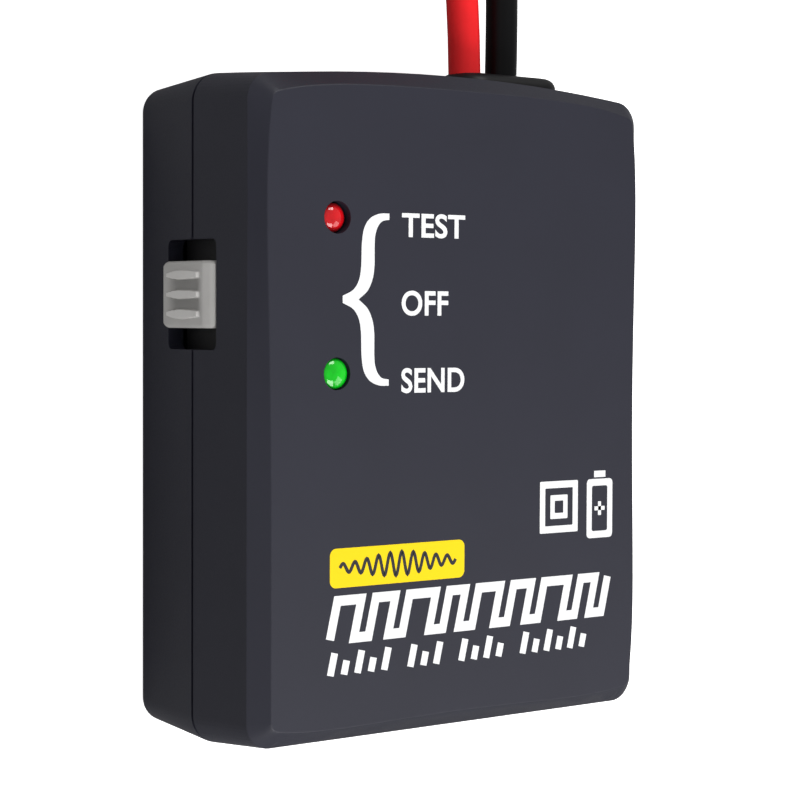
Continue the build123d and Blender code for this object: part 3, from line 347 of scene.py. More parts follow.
# %% The finishes of this object
FINISHES = {
    "case_plastic": finish("moulded slate plastic", (0.0150, 0.0154, 0.0270), 0.50, spread=0.05,
                           cloud=90, grain=5200, bump=0.30, depth=0.03, specular=0.40),
    # the knob's colour carries painted light and shade: lighter bars, darker dishes
    "knob_plastic": finish("warm grey knob plastic", (0.535, 0.525, 0.51), 0.42, spread=0.04,
                           cloud=300, grain=6000, bump=0.10, specular=0.35, painted_light_attribute="painted_light_and_shade"),
    "shield_black": finish("black slider plastic", (0.012, 0.012, 0.014), 0.55, grain=5000),
    "red_lens": finish("red lamp resin", (0.70, 0.003, 0.008), 0.10, spread=0.18, cloud=700,
                       bump=0.03, coat=0.5, transmission=0.15),
    "green_lens": finish("green lamp resin", (0.0, 0.60, 0.010), 0.10, spread=0.18, cloud=700,
                         bump=0.03, coat=0.5, transmission=0.15),
    "steel": finish("zinc plated steel", (0.56, 0.56, 0.58), 0.30, metallic=1.0, cloud=400),
    "tinned_wire": finish("tinned wire", (0.66, 0.66, 0.67), 0.26, metallic=1.0, cloud=500),
    "board_laminate": finish("green board laminate", (0.02, 0.13, 0.045), 0.32, spread=0.10,
                             cloud=500),
    "chip_black": finish("moulded chip body", (0.016, 0.016, 0.018), 0.60, grain=7000, bump=0.25),
    "capacitor_sleeve": finish("shrunk blue sleeve", (0.012, 0.022, 0.10), 0.28, coat=0.2),
    "resistor_body": finish("resistor lacquer", (0.50, 0.34, 0.17), 0.35, spread=0.08, cloud=900),
    "switch_laminate": finish("brown paper laminate", (0.22, 0.10, 0.04), 0.60, spread=0.15,
                              cloud=900),
    "battery_jacket": finish("painted battery jacket", (0.03, 0.07, 0.17), 0.30, spread=0.06,
                             coat=0.3),
    "foam": finish("grey foam", (0.05, 0.05, 0.055), 0.92, grain=1600, bump=0.9, depth=0.2),
    "black_rubber": finish("black gland rubber", (0.006, 0.006, 0.007), 0.45, spread=0.10,
                           cloud=250, grain=3200, bump=0.15, specular=0.25),
    "tie_nylon": finish("nylon tie", (0.62, 0.60, 0.54), 0.45, spread=0.04),
    "red_sleeve": finish("red soft jacket", (0.94, 0.013, 0.017), 0.42, spread=0.06, cloud=160,
                         grain=2600, bump=0.10, specular=0.28),
    "black_sleeve": finish("black soft jacket", (0.0035, 0.0035, 0.004), 0.38, spread=0.12,
                           cloud=160, grain=2600, bump=0.10, specular=0.13),
    "clip_steel": finish("nickel plated clip steel", (0.60, 0.60, 0.61), 0.24, metallic=1.0,
                         cloud=220),
    "print_white": finish("white screen print", (0.86, 0.865, 0.87), 0.55, spread=0.02,
                          grain=6000, bump=0.08, specular=0.2),
    "badge_yellow": finish("yellow screen print", (0.90, 0.66, 0.006), 0.55, spread=0.02,
                           grain=6000, bump=0.08, specular=0.2),
}
DARK_PRINT = finish("dark screen print", (0.014, 0.014, 0.018), 0.5, spread=0.03, grain=6000,
                    bump=0.08)
print(len(FINISHES) + 1, "finishes")

# %% Give every solid piece the finish that its slot names
SLOT_OF = {row["node"]: row["material_slot"] for row in frame["record"]["subparts"]}
for node, piece in NODES.items():
    piece.data.materials.clear()
    piece.data.materials.append(FINISHES[SLOT_OF[node]])


def dress(piece, slot, material=None):
    """Puts the slot's finish, or another one of that slot, on a new piece."""
    piece.data.materials.clear()
    piece.data.materials.append(material or FINISHES[slot])
    return piece


# %% Finish the leads and hide the solid leads, coils and tails they replace
for colour, piece in CORDS.items():
    dress(piece, f"{colour}_sleeve")
    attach(piece, "case")
    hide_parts(f"{colour}_lead", f"{colour}_coil", f"{colour}_tail")
print("leads dressed")


# %% [markdown]
# ## The covers and the gland
# The solid model is exact, but its mesh is loose triangles, and light breaks at every facet of
# its rounded corners.  A merged copy stands in for each of these pieces: doubles go, flat
# triangles join into whole faces, everything is shaded smooth up to an edge of 24 degrees, and
# the large faces rule the normals beside them, so that they stay flat.

# %% Merged copies of solid pieces
SAME_CORNER = 2e-6      # metres; the loose triangles' corners are nearer than this
FLAT_ANGLE = 0.4        # degrees; triangles that meet at less are one face
MOULDED_EDGE = 24       # degrees; two faces that meet at more have a hard edge
FACE_WEIGHT = 60


def merged_copy(node, name, body):
    """Copies a solid's mesh, joins its loose triangles into whole faces and marks real edges."""
    mesh = NODES[node].data.copy()
    mesh.name = name
    tidy = bmesh.new()
    tidy.from_mesh(mesh)
    bmesh.ops.remove_doubles(tidy, verts=tidy.verts, dist=SAME_CORNER)
    bmesh.ops.dissolve_limit(tidy, angle_limit=np.radians(FLAT_ANGLE), verts=tidy.verts,
                             edges=tidy.edges)
    for face in tidy.faces:
        face.smooth = True
    tidy.to_mesh(mesh)
    tidy.free()
    mesh.set_sharp_from_angle(angle=np.radians(MOULDED_EDGE))
    piece = ready(name, mesh, body)
    evened = piece.modifiers.new("large faces rule the shading", "WEIGHTED_NORMAL")
    evened.keep_sharp = True
    evened.weight = FACE_WEIGHT
    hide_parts(node)
    dress(piece, SLOT_OF[node])
    return piece


BODIES = frame["record"]["behaviour"]["bodies"]
BODY_OF = {node: body for body, nodes in BODIES.items() for node in nodes}
SMOOTHED = ["front_cover", "rear_cover", "battery_cover", "lead_gland"]
for node in SMOOTHED:
    made = merged_copy(node, f"{node}_smooth", BODY_OF[node])
    print(made.name, len(made.data.polygons), "faces")

# %% [markdown]
# ## The finger knob of the switch
# The knob is a warm grey cap about ten millimetres long.  Its three bars are shaped like an
# eye: full in the middle, narrow towards the back and cut off blunt near the front edge, and
# the finger's side of the cap falls away in a soft bevel towards the front face.  A grid over
# the cap's face, whose depth is worked out point by point, gives all of that in one surface.

# %% Knob surface
KNOB_LENGTH = 2 * KNOB_HALF[1] / MM
KNOB_HEIGHT = 2 * KNOB_HALF[2] / MM
BAR_HEIGHT = 0.36
BAR_PITCH = 2.2
BAR_HALF = {"back end": 0.20, "middle": 0.53, "front end": 0.32}
BAR_MIDDLE = -0.30      # the bars lie a little nearer to the back
BAR_REACH = 3.30        # from their middle to either end
BAR_WIDEST = -0.15      # share of the reach at which a bar is widest
BAR_EDGE = 0.12         # over which a bar's side rises
BAR_BLUNT = 0.06        # share of the reach over which its end rises
DISH_DEPTH = 0.42
DISH_HALF = 0.95
DISH_REACH = 1.12       # share of the bars' reach at which a dish ends
DISH_FADE = 0.5
BEVEL_WIDTH = 1.4
BEVEL_SLOPE = 0.55
BEVEL_EASE = 0.45
EDGE_ROLL = 0.45
KNOB_CORNER = {"back": 1.0, "front": 0.6}
KNOB_FACE_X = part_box("switch_knob")[0][0] / MM + BAR_HEIGHT
KNOB_BACK_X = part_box("switch_knob")[1][0] / MM


def ease(value):
    """Goes smoothly from 0 to 1 as value does."""
    value = np.clip(value, 0, 1)
    return value * value * (3 - 2 * value)


def bars_and_dishes(along, up):
    """Two maps from 0 to 1: on the three eye-shaped bars, and in the two dishes between them."""
    reach = (up - BAR_MIDDLE) / BAR_REACH
    full = BAR_HALF["middle"]
    to_back = (BAR_WIDEST - reach) / (1 + BAR_WIDEST)
    to_front = (reach - BAR_WIDEST) / (1 - BAR_WIDEST)
    half_bar = np.where(reach < BAR_WIDEST, full - (full - BAR_HALF["back end"]) * to_back**2,
                        full - (full - BAR_HALF["front end"]) * to_front**2)
    blunt = ease((1 - np.abs(reach)) / BAR_BLUNT)
    bars = np.zeros_like(along)
    for number in (-1, 0, 1):
        inside = half_bar - np.abs(along - number * BAR_PITCH)
        bars = np.maximum(bars, ease(inside / BAR_EDGE + 0.5) * blunt)
    scoop = np.zeros_like(along)
    for number in (-0.5, 0.5):
        off_line = np.abs(along - number * BAR_PITCH) / DISH_HALF
        scoop = np.maximum(scoop, np.sqrt(np.clip(1 - off_line**2, 0, 1)))
    return bars, scoop * ease((DISH_REACH - np.abs(reach)) / DISH_FADE) * (1 - bars)


def knob_relief(along, up):
    """Height over the cap's face: bars stand up, dishes sink, the front edge falls away."""
    bars, dishes = bars_and_dishes(along, up)
    beyond = np.clip(up - (KNOB_HEIGHT / 2 - BEVEL_WIDTH), 0, None)
    bevel = BEVEL_SLOPE * beyond**2 / (beyond + BEVEL_EASE)
    return bars * BAR_HEIGHT - dishes * DISH_DEPTH - bevel


def knob_grid():
    """Rows across the cap; each row is shortened at the round corners, and edges roll over."""
    across = np.sin(np.linspace(-np.pi / 2, np.pi / 2, 121))
    up = np.sin(np.linspace(-np.pi / 2, np.pi / 2, 131)) * KNOB_HEIGHT / 2
    corner = np.where(up < 0, KNOB_CORNER["back"], KNOB_CORNER["front"])
    beyond = np.clip(np.abs(up) - (KNOB_HEIGHT / 2 - corner), 0, corner)
    half = KNOB_LENGTH / 2 - corner + np.sqrt(corner**2 - beyond**2)
    along = across[None, :] * half[:, None]
    rise = np.repeat(up[:, None], len(across), axis=1)
    edge = np.minimum(half[:, None] - np.abs(along), KNOB_HEIGHT / 2 - np.abs(rise))
    drop = EDGE_ROLL - np.sqrt(EDGE_ROLL**2 - np.clip(EDGE_ROLL - edge, 0, EDGE_ROLL) ** 2)
    depth = KNOB_FACE_X - knob_relief(along, rise) + drop
    return np.stack([depth, KNOB_MID[1] / MM + along, KNOB_MID[2] / MM + rise], axis=-1)


def knob_mesh(name):
    """The face grid, its rim carried back to the slider, and a flat back."""
    face = knob_grid()
    rows, count = face.shape[:2]
    index = np.arange(rows * count).reshape(rows, count)
    rim = np.concatenate([index[0, :], index[1:, -1], index[-1, -2::-1], index[-2:0:-1, 0]])
    points = face.reshape(-1, 3)
    back = points[rim].copy()
    back[:, 0] = KNOB_BACK_X
    back_index = len(points) + np.arange(len(rim))
    sides = np.stack([rim, np.roll(rim, -1), np.roll(back_index, -1), back_index], -1)
    mesh = bpy.data.meshes.new(name)
    everything = np.concatenate([points, back]) * MM
    faces = quads_of(index) + sides.tolist() + [back_index.tolist()]
    mesh.from_pydata(everything.tolist(), [], faces)
    return painted_light_and_shade(finished(mesh))


def painted_light_and_shade(mesh):
    """Painted light and shade: the bars are lightened as lit, the dishes between them darkened as
    shaded: 1, 0 or -1.
    """
    points = np.empty(len(mesh.vertices) * 3)
    mesh.vertices.foreach_get("co", points)
    points = points.reshape(-1, 3) / MM
    bars, dishes = bars_and_dishes(*(points - KNOB_MID / MM)[:, 1:].T)
    on_face = points[:, 0] < KNOB_FACE_X + DISH_DEPTH + 0.05
    # the attribute holds painted light on the bars and painted shade in the dishes
    marks = mesh.attributes.new("painted_light_and_shade", "FLOAT", "POINT")
    marks.data.foreach_set("value", (bars - dishes) * on_face)
    return mesh


knob = dress(ready("switch_knob_cap", knob_mesh("switch_knob_cap"), "switch"),
             "knob_plastic")
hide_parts("switch_knob")
print("knob", len(knob.data.polygons), "faces")


# %% [markdown]
# ## The two lamps
# Each lamp is a small resin dome in a hole of the face, the red one set deeper than the green
# one.  A profile turned round an upright axis makes it: foot, body and a quarter of an ellipse
# for the dome.  The clear resin is glossy, so the room's lights sparkle in it.

# %% Lamps
LENS_RADIUS = {"red": 1.70, "green": 1.80}
FOOT_RADIUS = 1.9
FOOT_THICK = 1.0
DOME_HEIGHT = {"red": 0.95, "green": 0.80}
LENS_RAISED = {"red": 0.25, "green": 0.42}    # nearer to the face than the plain solid stands


def lamp(colour, node):
    """A foot, a round body and a dome, where the plain solid of the lamp stands."""
    low, high = (np.array(corner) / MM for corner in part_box(node))
    radius, rise = LENS_RADIUS[colour], DOME_HEIGHT[colour]
    turn = np.linspace(0, np.pi / 2, 18)
    shoulder = high[2] + LENS_RAISED[colour] - rise
    dome = [(max(radius * np.cos(t), 0.0), shoulder + rise * np.sin(t)) for t in turn]
    step = low[2] + FOOT_THICK
    foot = [(0.0, low[2]), (FOOT_RADIUS, low[2]), (FOOT_RADIUS, step), (radius, step)]
    centre = ((low[0] + high[0]) / 2, (low[1] + high[1]) / 2, 0.0)
    name = f"{colour}_lamp_lens"
    rings = turned(foot + dome, centre) * MM
    piece = ready(name, grid_mesh(name, [rings]), "case")
    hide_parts(node)
    return dress(piece, f"{colour}_lens")


for colour in ("red", "green"):
    print(lamp(colour, f"{colour}_lamp").name)


# %% [markdown]
# ## The printing
# Screen print is a film of paint a few hundredths of a millimetre thick.  It is made as real
# thin slabs on the face: strips between two lines for the brace and the waves, words as
# meshes from the built-in type.  The words only say what the switch does, and the large marks
# are plain pulses and waves.

# %% Slabs of print
FACE = FACE_Z / MM
PRINT_LOW = FACE - 0.02
PRINT_HIGH = FACE + 0.03


def through(points, per=8):
    """A Catmull-Rom line through points, per steps to each stretch."""
    points = np.array(points, dtype=float)
    ends = np.concatenate([[2 * points[0] - points[1]], points, [2 * points[-1] - points[-2]]])
    step = np.linspace(0, 1, per, endpoint=False)[:, None]
    pieces = []
    for a, b, c, d in zip(ends, ends[1:], ends[2:], ends[3:]):
        pieces.append(0.5 * (2 * b + (c - a) * step + (2 * a - 5 * b + 4 * c - d) * step**2
                             + (3 * b - a - 3 * c + d) * step**3))
    return np.concatenate(pieces + [points[-1:]])


def strip(left, right, low=PRINT_LOW, high=PRINT_HIGH):
    """A slab between two lines with as many points each."""
    sides = [(left, low), (left, high), (right, high), (right, low)]
    return np.stack([np.column_stack([xy, np.full(len(xy), z)]) for xy, z in sides], axis=1)


def stroke(path, width, low=PRINT_LOW, high=PRINT_HIGH):
    """A slab of even width along a line; its corners are mitred."""
    path = np.array(path, dtype=float)
    ahead = np.diff(path, axis=0)
    ahead /= np.linalg.norm(ahead, axis=1)[:, None]
    normal = np.stack([-ahead[:, 1], ahead[:, 0]], axis=-1)
    before = np.concatenate([normal[:1], normal])
    after = np.concatenate([normal, normal[-1:]])
    mitre = (before + after) / (1 + np.sum(before * after, axis=1))[:, None]
    return strip(path + mitre * width / 2, path - mitre * width / 2, low, high)


def loop(outer, inner):
    """A closed frame between two outlines with as many points each."""
    outer, inner = (np.concatenate([line, line[:1]]) for line in (outer, inner))
    return strip(outer, inner)[:-1]


def print_piece(name, slabs, slot, material=None, closed=False):
    """One named piece of print made of slabs; closed joins each slab's end to its start."""
    mesh = grid_mesh(name, [slab * MM for slab in slabs], closed_columns=closed)
    return dress(ready(name, mesh, "case"), slot, material)


# %% The brace that joins the two lamps to the legends
BRACE_MIDDLE_Y = 11.92
BRACE_LEFT = [(-11.04, 21.74), (-12.5, 21.66), (-13.8, 21.1), (-14.62, 20.0), (-14.93, 18.45),
              (-14.99, 17.0), (-15.05, 15.5), (-15.35, 14.1), (-16.15, 13.0), (-17.62, 12.32)]
BRACE_RIGHT = [(-11.04, 21.02), (-12.0, 20.85), (-12.65, 20.25), (-13.02, 19.35), (-13.13, 18.4),
               (-13.14, 17.0), (-13.16, 15.7), (-13.4, 14.3), (-14.1, 12.95), (-15.38, 11.93)]


def mirrored(points):
    """The upper half of the brace's side, then the same turned over about its middle height."""
    upper = through(points, 6)
    lower = upper[::-1] * [1, -1] + [0, 2 * BRACE_MIDDLE_Y]
    return np.concatenate([upper, lower])


brace_slab = strip(mirrored(BRACE_LEFT), mirrored(BRACE_RIGHT))
brace = print_piece("brace_print", [brace_slab], "print_white")
print("brace", len(brace.data.polygons), "faces")

# %% Words that say what each switch position does
LEGENDS = {"upper": ("TEST", (-9.2, 0.2), (19.1, 21.9)),
           "middle": ("OFF", (-9.2, -2.3), (10.1, 13.0)),
           "lower": ("SEND", (-9.2, 0.2), (1.2, 4.1))}
TYPE_WEIGHT = 0.022     # how far each letter's outline is pushed out
TYPE_SPACING = 1.04


def word(name, text, across, upright):
    """Built-in type, thickened, made a mesh, then stretched to fill its box on the face."""
    curve = bpy.data.curves.new(name, "FONT")
    curve.body = text
    curve.offset = TYPE_WEIGHT
    curve.extrude = 0.5
    curve.resolution_u = 6
    curve.space_character = TYPE_SPACING
    holder = bpy.data.objects.new(name, curve)
    bpy.context.collection.objects.link(holder)
    bpy.context.view_layer.update()
    evaluated = holder.evaluated_get(bpy.context.evaluated_depsgraph_get())
    mesh = bpy.data.meshes.new_from_object(evaluated)
    bpy.data.objects.remove(holder)
    points = np.empty(len(mesh.vertices) * 3)
    mesh.vertices.foreach_get("co", points)
    points = points.reshape(-1, 3)
    low, high = points.min(axis=0), points.max(axis=0)
    goal_low = np.array([across[0], upright[0], PRINT_LOW])
    goal_high = np.array([across[1], upright[1], PRINT_HIGH])
    placed = (goal_low + (points - low) / (high - low) * (goal_high - goal_low)) * MM
    mesh.vertices.foreach_set("co", placed.ravel())
    mesh.update()
    tidy = bmesh.new()
    tidy.from_mesh(mesh)
    bmesh.ops.remove_doubles(tidy, verts=tidy.verts, dist=SAME_POINT)
    tidy.to_mesh(mesh)
    tidy.free()
    return dress(ready(name, mesh, "case"), "print_white")


for place, (text, across, upright) in LEGENDS.items():
    print(word(f"{place}_legend", text, across, upright).name)

# %% The yellow badge with a dark burst of waves
BADGE = np.array([[-19.3, -20.62], [0.35, -16.15]])
BADGE_CORNER = 0.85
WAVE_X = (-17.9, -1.0)
WAVE_Y = -18.38
WAVE_HEIGHT = 1.35
WAVE_LENGTH = 1.69
WAVE_CALM = 0.35        # share of the height that is left at the burst's ends
WAVE_LINE = 0.42


def rounded(low, high, corner, per=8):
    """A rectangle's outline with quarter circles for corners, counter-clockwise."""
    angle = np.linspace(0, np.pi / 2, per)
    centres = [(high[0] - corner, high[1] - corner, 0), (low[0] + corner, high[1] - corner, 1),
               (low[0] + corner, low[1] + corner, 2), (high[0] - corner, low[1] + corner, 3)]
    return np.concatenate([np.stack([x + corner * np.cos(angle + q * np.pi / 2),
                                     y + corner * np.sin(angle + q * np.pi / 2)], -1)
                           for x, y, q in centres])


outline = rounded(BADGE[0], BADGE[1], BADGE_CORNER)
slab = np.stack([np.column_stack([outline, np.full(len(outline), z)])
                 for z in (PRINT_LOW, PRINT_HIGH)])
badge_mesh = grid_mesh("badge_print", [slab * MM])
dress(ready("badge_print", badge_mesh, "case"), "badge_yellow")
across = np.linspace(*WAVE_X, 161)
gone = across - WAVE_X[0]
swell = WAVE_CALM + (1 - WAVE_CALM) * np.sin(np.pi * gone / (WAVE_X[1] - WAVE_X[0])) ** 2
upright = WAVE_Y + WAVE_HEIGHT * swell * np.sin(2 * np.pi * gone / WAVE_LENGTH)
wave_slab = stroke(np.stack([across, upright], -1), WAVE_LINE, PRINT_HIGH - 0.01, PRINT_HIGH + 0.02)
print_piece("badge_waves", [wave_slab], "print_white", DARK_PRINT)
print("badge", np.round(outline.min(axis=0), 2), np.round(outline.max(axis=0), 2))

# %% A bold row of pulses and a fine row of bars under it, both leaning
LEAN = 0.24
PULSE_Y = (-27.0, -21.5)
PULSE_X = (-19.4, 23.6)
PULSE_STROKE = 1.15
PULSE_WIDTHS = [3.1, 1.9, 2.6, 1.9, 3.6, 1.9, 2.2, 1.9] * 2
SMALL_START = -19.2
SMALL_Y = (-30.5, -27.95)
SMALL_GROUPS = [5, 3, 4, 6]
SMALL_PITCH = 1.92
SMALL_GAP = 1.9         # further space after each group
SMALL_STROKE = 0.95
SMALL_SHORT = 0.62      # height of every other bar, as a share of the tall ones


def leaning(path, foot):
    """Pushes a line over to the right in step with its height above foot."""
    path = np.array(path, dtype=float)
    return np.stack([path[:, 0] + LEAN * (path[:, 1] - foot), path[:, 1]], axis=-1)


room = PULSE_X[1] - PULSE_X[0] - LEAN * (PULSE_Y[1] - PULSE_Y[0])
stops = np.concatenate([[0], np.cumsum(PULSE_WIDTHS)])
stops = PULSE_X[0] + stops / stops[-1] * room
levels = (PULSE_Y[0] + PULSE_STROKE / 2, PULSE_Y[1] - PULSE_STROKE / 2)
corners = [(x, level) for n, x in enumerate(stops) for level in (levels, levels[::-1])[n % 2]]
pulse_slab = stroke(leaning(corners, PULSE_Y[0]), PULSE_STROKE)
print_piece("pulse_print", [pulse_slab], "print_white")
bars, x = [], SMALL_START
foot = SMALL_Y[0]
for group in SMALL_GROUPS:
    for number in range(group):
        share = 1.0 if number % 2 == 0 else SMALL_SHORT
        top = foot + share * (SMALL_Y[1] - foot)
        bars.append(stroke(leaning([(x, foot), (x, top)], foot), SMALL_STROKE))
        x += SMALL_PITCH
    x += SMALL_GAP
print_piece("small_bars_print", bars, "print_white")
print("pulses from", round(stops[0], 1), "to", round(stops[-1], 1), "bars", len(bars))

# %% Two plain signs: doubly insulated, and a battery
square = [loop(rounded((12.2, -16.2), (18.4, -9.9), 0.15, 3),
               rounded((13.05, -15.35), (17.55, -10.75), 0.1, 3)),
          loop(rounded((13.9, -14.5), (16.7, -11.6), 0.12, 3),
               rounded((14.6, -13.8), (16.0, -12.3), 0.08, 3))]
cell = [loop(rounded((19.9, -17.2), (24.2, -9.9), 0.5, 4),
             rounded((20.75, -16.35), (23.35, -10.75), 0.25, 4))]
print_piece("insulated_sign", square, "print_white", closed=True)
print_piece("battery_sign", cell, "print_white", closed=True)
marks = [stroke([(21.1, -9.3), (23.0, -9.3)], 0.8), stroke([(21.2, -13.55), (22.9, -13.55)], 0.5),
         stroke([(22.05, -14.4), (22.05, -12.7)], 0.5)]
print_piece("battery_sign_marks", marks, "print_white")
print("signs placed")


# %% [markdown]
# ## The spring and the grips of each clip
# A clip's jaws are shut by a wound spring on its pin: a helix of 0.7 mm wire whose near end
# runs out as an arm along the lower handle.  The grips are soft sleeves with a few ribs for
# the fingers.  The spring is a round section carried along a helix; a grip is rings that start
# at the hole for the lead, swell to the handle's outline, run forward over ribs, and turn in
# again, so that the sleeve has its real wall.

# %% Wound springs
SPRING_MEAN = 1.40      # from the pin's axis to the middle of the wire
SPRING_WIRE = 0.34      # half the wire's thickness
SPRING_HALF = 1.70      # half the length along the pin
SPRING_TURNS = 4.6
SPRING_START = 225      # degrees round the pin, where the arm leaves
SPRING_POINTS = 150
ARM_LENGTH = 9.0
ARM_END_HEIGHT = 2.12


def wound_spring(colour):
    """Height and depth go round a circle while the place along the pin advances evenly."""
    centre = middle(f"{colour}_clip_pin")[0] / MM
    turning = np.linspace(0, 2 * np.pi * SPRING_TURNS, SPRING_POINTS)
    angle = np.radians(SPRING_START) + turning
    along = np.linspace(SPRING_HALF, -SPRING_HALF, SPRING_POINTS)
    coil = np.stack([centre[0] + along, centre[1] + SPRING_MEAN * np.cos(angle),
                     centre[2] + SPRING_MEAN * np.sin(angle)], axis=-1)
    end = np.array([centre[0] + SPRING_HALF, centre[1] - ARM_LENGTH, ARM_END_HEIGHT])
    arm = coil[0] + (end - coil[0]) * np.linspace(1, 0, 12, endpoint=False)[:, None]
    name = f"{colour}_clip_spring_wound"
    mesh = grid_mesh(name, [tube(np.concatenate([arm, coil]), SPRING_WIRE, 10) * MM])
    piece = dress(ready(name, mesh, "case"), "steel")
    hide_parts(f"{colour}_clip_spring")
    return piece


for colour in ("red", "black"):
    print(wound_spring(colour).name)

# %% Ribbed soft grips
RING_POINTS = 48
GRIP_WALL = 0.95
RIB_DEPTH = 0.28
RIB_PITCH = 2.2
RIBS_FROM = 4.0         # plain length before the first rib
RIBS_TO = 4.4           # and after the last
END_ROUNDING = {"length": 1.1, "depth": 0.55}
HOLE = {"radius": 2.02, "height": 3.85}     # for the lead, in the lower grip
LOWER_END_WALL = 4.0
UPPER_LEAN = 26         # degrees that the upper handle leans up at rest
UPPER_END = 27.0        # from the pin's axis to the upper grip's closed end
UPPER_GRIP = {"length": 19.0, "half": 5.05, "low": -2.05, "high": 3.55, "end_wall": 1.8}


def ring(half_width, low, high, roundness):
    """A superellipse: a circle at roundness 2, nearer to a rectangle as it grows."""
    angle = np.linspace(0, 2 * np.pi, RING_POINTS, endpoint=False)
    c, s = np.cos(angle), np.sin(angle)
    x = half_width * np.sign(c) * np.abs(c) ** (2 / roundness)
    z = (low + high) / 2 + (high - low) / 2 * np.sign(s) * np.abs(s) ** (2 / roundness)
    return np.stack([x, z], axis=-1)


def sleeve(length, half, low, high, hole, end_wall):
    """Rings along a sleeve, from its hole over the ribbed outside and back through the inside."""
    rows = [(end_wall, hole), (0.0, hole)]
    ends = ([0.0, 0.15, 0.5, 1.1], [length - 0.25, length])
    for place in np.concatenate([ends[0], np.linspace(2.0, length - 0.8, 90), ends[1]]):
        near = min(place, length - place)
        shrink = END_ROUNDING["depth"] * (1 - ease(near / END_ROUNDING["length"]))
        if near > END_ROUNDING["length"]:
            ribbed = RIBS_FROM < place < length - RIBS_TO
            swing = np.sin(np.pi * (place - RIBS_FROM) / RIB_PITCH) ** 2 if ribbed else 1
            shrink = shrink + RIB_DEPTH - RIB_DEPTH * swing
        rows.append((place, ring(half - shrink, low + 0.6 * shrink, high - shrink, 5)))
    inside = ring(half - GRIP_WALL, low + GRIP_WALL, high - GRIP_WALL, 7)
    return rows + [(length, inside), (end_wall, inside)]


def lower_grip(colour):
    """A sleeve along the lower handle, with a hole in its end for the lead."""
    node = f"{colour}_clip_lower_grip"
    low, high = (np.array(corner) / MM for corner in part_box(node))
    mid_x = (low[0] + high[0]) / 2
    angle = np.linspace(0, 2 * np.pi, RING_POINTS, endpoint=False)
    hole = np.stack([HOLE["radius"] * np.cos(angle),
                     HOLE["height"] + HOLE["radius"] * np.sin(angle)], axis=-1)
    rows = sleeve(high[1] - low[1], (high[0] - low[0]) / 2, low[2], high[2], hole, LOWER_END_WALL)
    grid = np.stack([np.column_stack([mid_x + xz[:, 0], np.full(RING_POINTS, low[1] + y), xz[:, 1]])
                     for y, xz in rows])
    name = f"{node}_ribbed"
    piece = ready(name, grid_mesh(name, [grid * MM], closed_columns=True), "case")
    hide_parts(node)
    return dress(piece, f"{colour}_sleeve")


def upper_grip(colour):
    """The same sleeve, closed at its end, leaning up with the upper handle."""
    node = f"{colour}_clip_upper_grip"
    centre = middle(f"{colour}_clip_pin")[0] / MM
    lean = np.radians(UPPER_LEAN)
    back = np.array([0, -np.cos(lean), np.sin(lean)])
    up = np.array([0, np.sin(lean), np.cos(lean)])
    hole = ring(0.02, 0.74, 0.78, 2)
    rows = sleeve(hole=hole, **UPPER_GRIP)
    grid = np.stack([centre + np.outer(xz[:, 0], [1, 0, 0]) + (UPPER_END - y) * back
                     + np.outer(xz[:, 1], up) for y, xz in rows])
    name = f"{node}_ribbed"
    piece = ready(name, grid_mesh(name, [grid * MM], closed_columns=True), f"{colour}_jaw")
    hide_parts(node)
    return dress(piece, f"{colour}_sleeve")


for colour in ("red", "black"):
    print(lower_grip(colour).name, upper_grip(colour).name)


ON_CORD = ["lower_jaw", "upper_jaw", "pin", "spring_arm"]
NEW_ON_CORD = ["spring_wound", "lower_grip_ribbed", "upper_grip_ribbed"]
for colour, piece in CORDS.items():
    carried = [NODES[f"{colour}_clip_{name}"] for name in ON_CORD]
    carried += [bpy.data.objects[f"{colour}_clip_{name}"] for name in NEW_ON_CORD]
    carried.append(bpy.data.objects["lead_gland_smooth"])

# %% [markdown]
# ## The floor and the light
# The box was lit like a small product: a wide soft light over its lower end, a sheet of light
# that its face mirrors from beyond its far side, a soft one over the leads, two small lamps
# that sparkle in the resin, and white paper all round.  The paper shines white to the camera
# but throws little light back up, as black cards beside the box would have it, so the sides
# of the case stay dark.

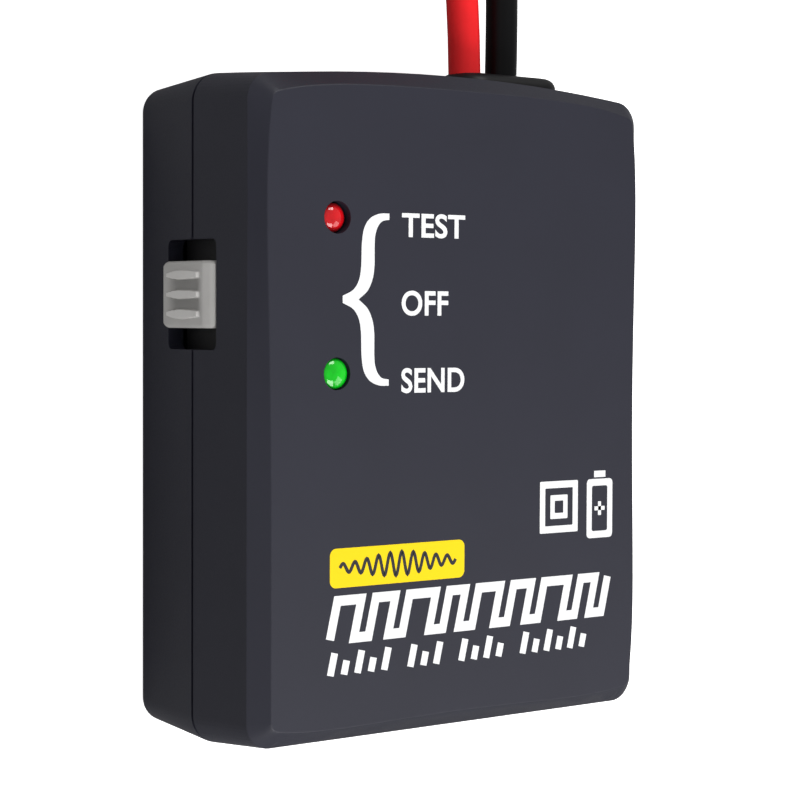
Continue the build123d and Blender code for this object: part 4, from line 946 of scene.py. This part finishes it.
# %% Ground
REACH = 6.0                 # metres to each side
PAPER_SHINE = 0.80          # what the camera sees beside the light that falls on it
PAPER_BOUNCE = 0.34         # how much light the paper gives back to the box
ROOM_LIGHT = 0.36
ground_mesh = bpy.data.meshes.new("ground")
corners = [(x * REACH, y * REACH, 0) for x, y in ((-1, -1), (1, -1), (1, 1), (-1, 1))]
ground_mesh.from_pydata(corners, [], [(0, 1, 2, 3)])
ground = bpy.data.objects.new("ground", ground_mesh)
bpy.context.collection.objects.link(ground)
paper = bpy.data.materials.new("white paper")
paper.use_nodes = True
sheet = paper.node_tree.nodes["Principled BSDF"]
sheet.inputs["Base Color"].default_value = (0.86, 0.86, 0.86, 1)
sheet.inputs["Roughness"].default_value = 0.9
sheet.inputs["Specular IOR Level"].default_value = 0.1
sheet.inputs["Emission Color"].default_value = (1, 1, 1, 1)
sheet.inputs["Emission Strength"].default_value = PAPER_SHINE
links = paper.node_tree.links
bounce = paper.node_tree.nodes.new("ShaderNodeBsdfDiffuse")
bounce.inputs["Color"].default_value = (PAPER_BOUNCE, PAPER_BOUNCE, PAPER_BOUNCE, 1)
seen = paper.node_tree.nodes.new("ShaderNodeLightPath")
choice = paper.node_tree.nodes.new("ShaderNodeMixShader")
links.new(seen.outputs["Is Camera Ray"], choice.inputs[0])
links.new(bounce.outputs["BSDF"], choice.inputs[1])
links.new(sheet.outputs["BSDF"], choice.inputs[2])
links.new(choice.outputs["Shader"], paper.node_tree.nodes["Material Output"].inputs["Surface"])
ground_mesh.materials.append(paper)


# %% Lights
def soft_light(name, place, target, size, power):
    """A square area light at place that looks at target."""
    light = bpy.data.lights.new(name, "AREA")
    light.shape = "SQUARE"
    light.size = size
    light.energy = power
    holder = bpy.data.objects.new(name, light)
    aim = (Vector(target) - Vector(place)).to_track_quat("-Z", "Y").to_matrix().to_4x4()
    holder.matrix_world = Matrix.Translation(Vector(place)) @ aim
    bpy.context.collection.objects.link(holder)


soft_light("wide front light", (0.02, -0.50, 0.55), (0, 0, 0.01), 0.45, 4.0)
soft_light("sheet beyond the face", (0.46, -0.30, 0.50), (0, -0.02, 0.02), 0.34, 0.85)
soft_light("light over the leads", (0.12, 0.50, 0.42), (0.02, 0.07, 0.01), 0.30, 1.9)
soft_light("low sparkle light", (-0.45, -0.17, 0.35), (0, 0, 0.02), 0.05, 0.16)
soft_light("high sparkle light", (-0.40, 0.30, 0.42), (0, 0, 0.02), 0.045, 0.11)
world = bpy.data.worlds.new("bright room")
bpy.context.scene.world = world
world.use_nodes = True
world.node_tree.nodes["Background"].inputs["Color"].default_value = (1, 1, 1, 1)
world.node_tree.nodes["Background"].inputs["Strength"].default_value = ROOM_LIGHT
bpy.context.scene.view_settings.view_transform = "Standard"
print("lights placed")
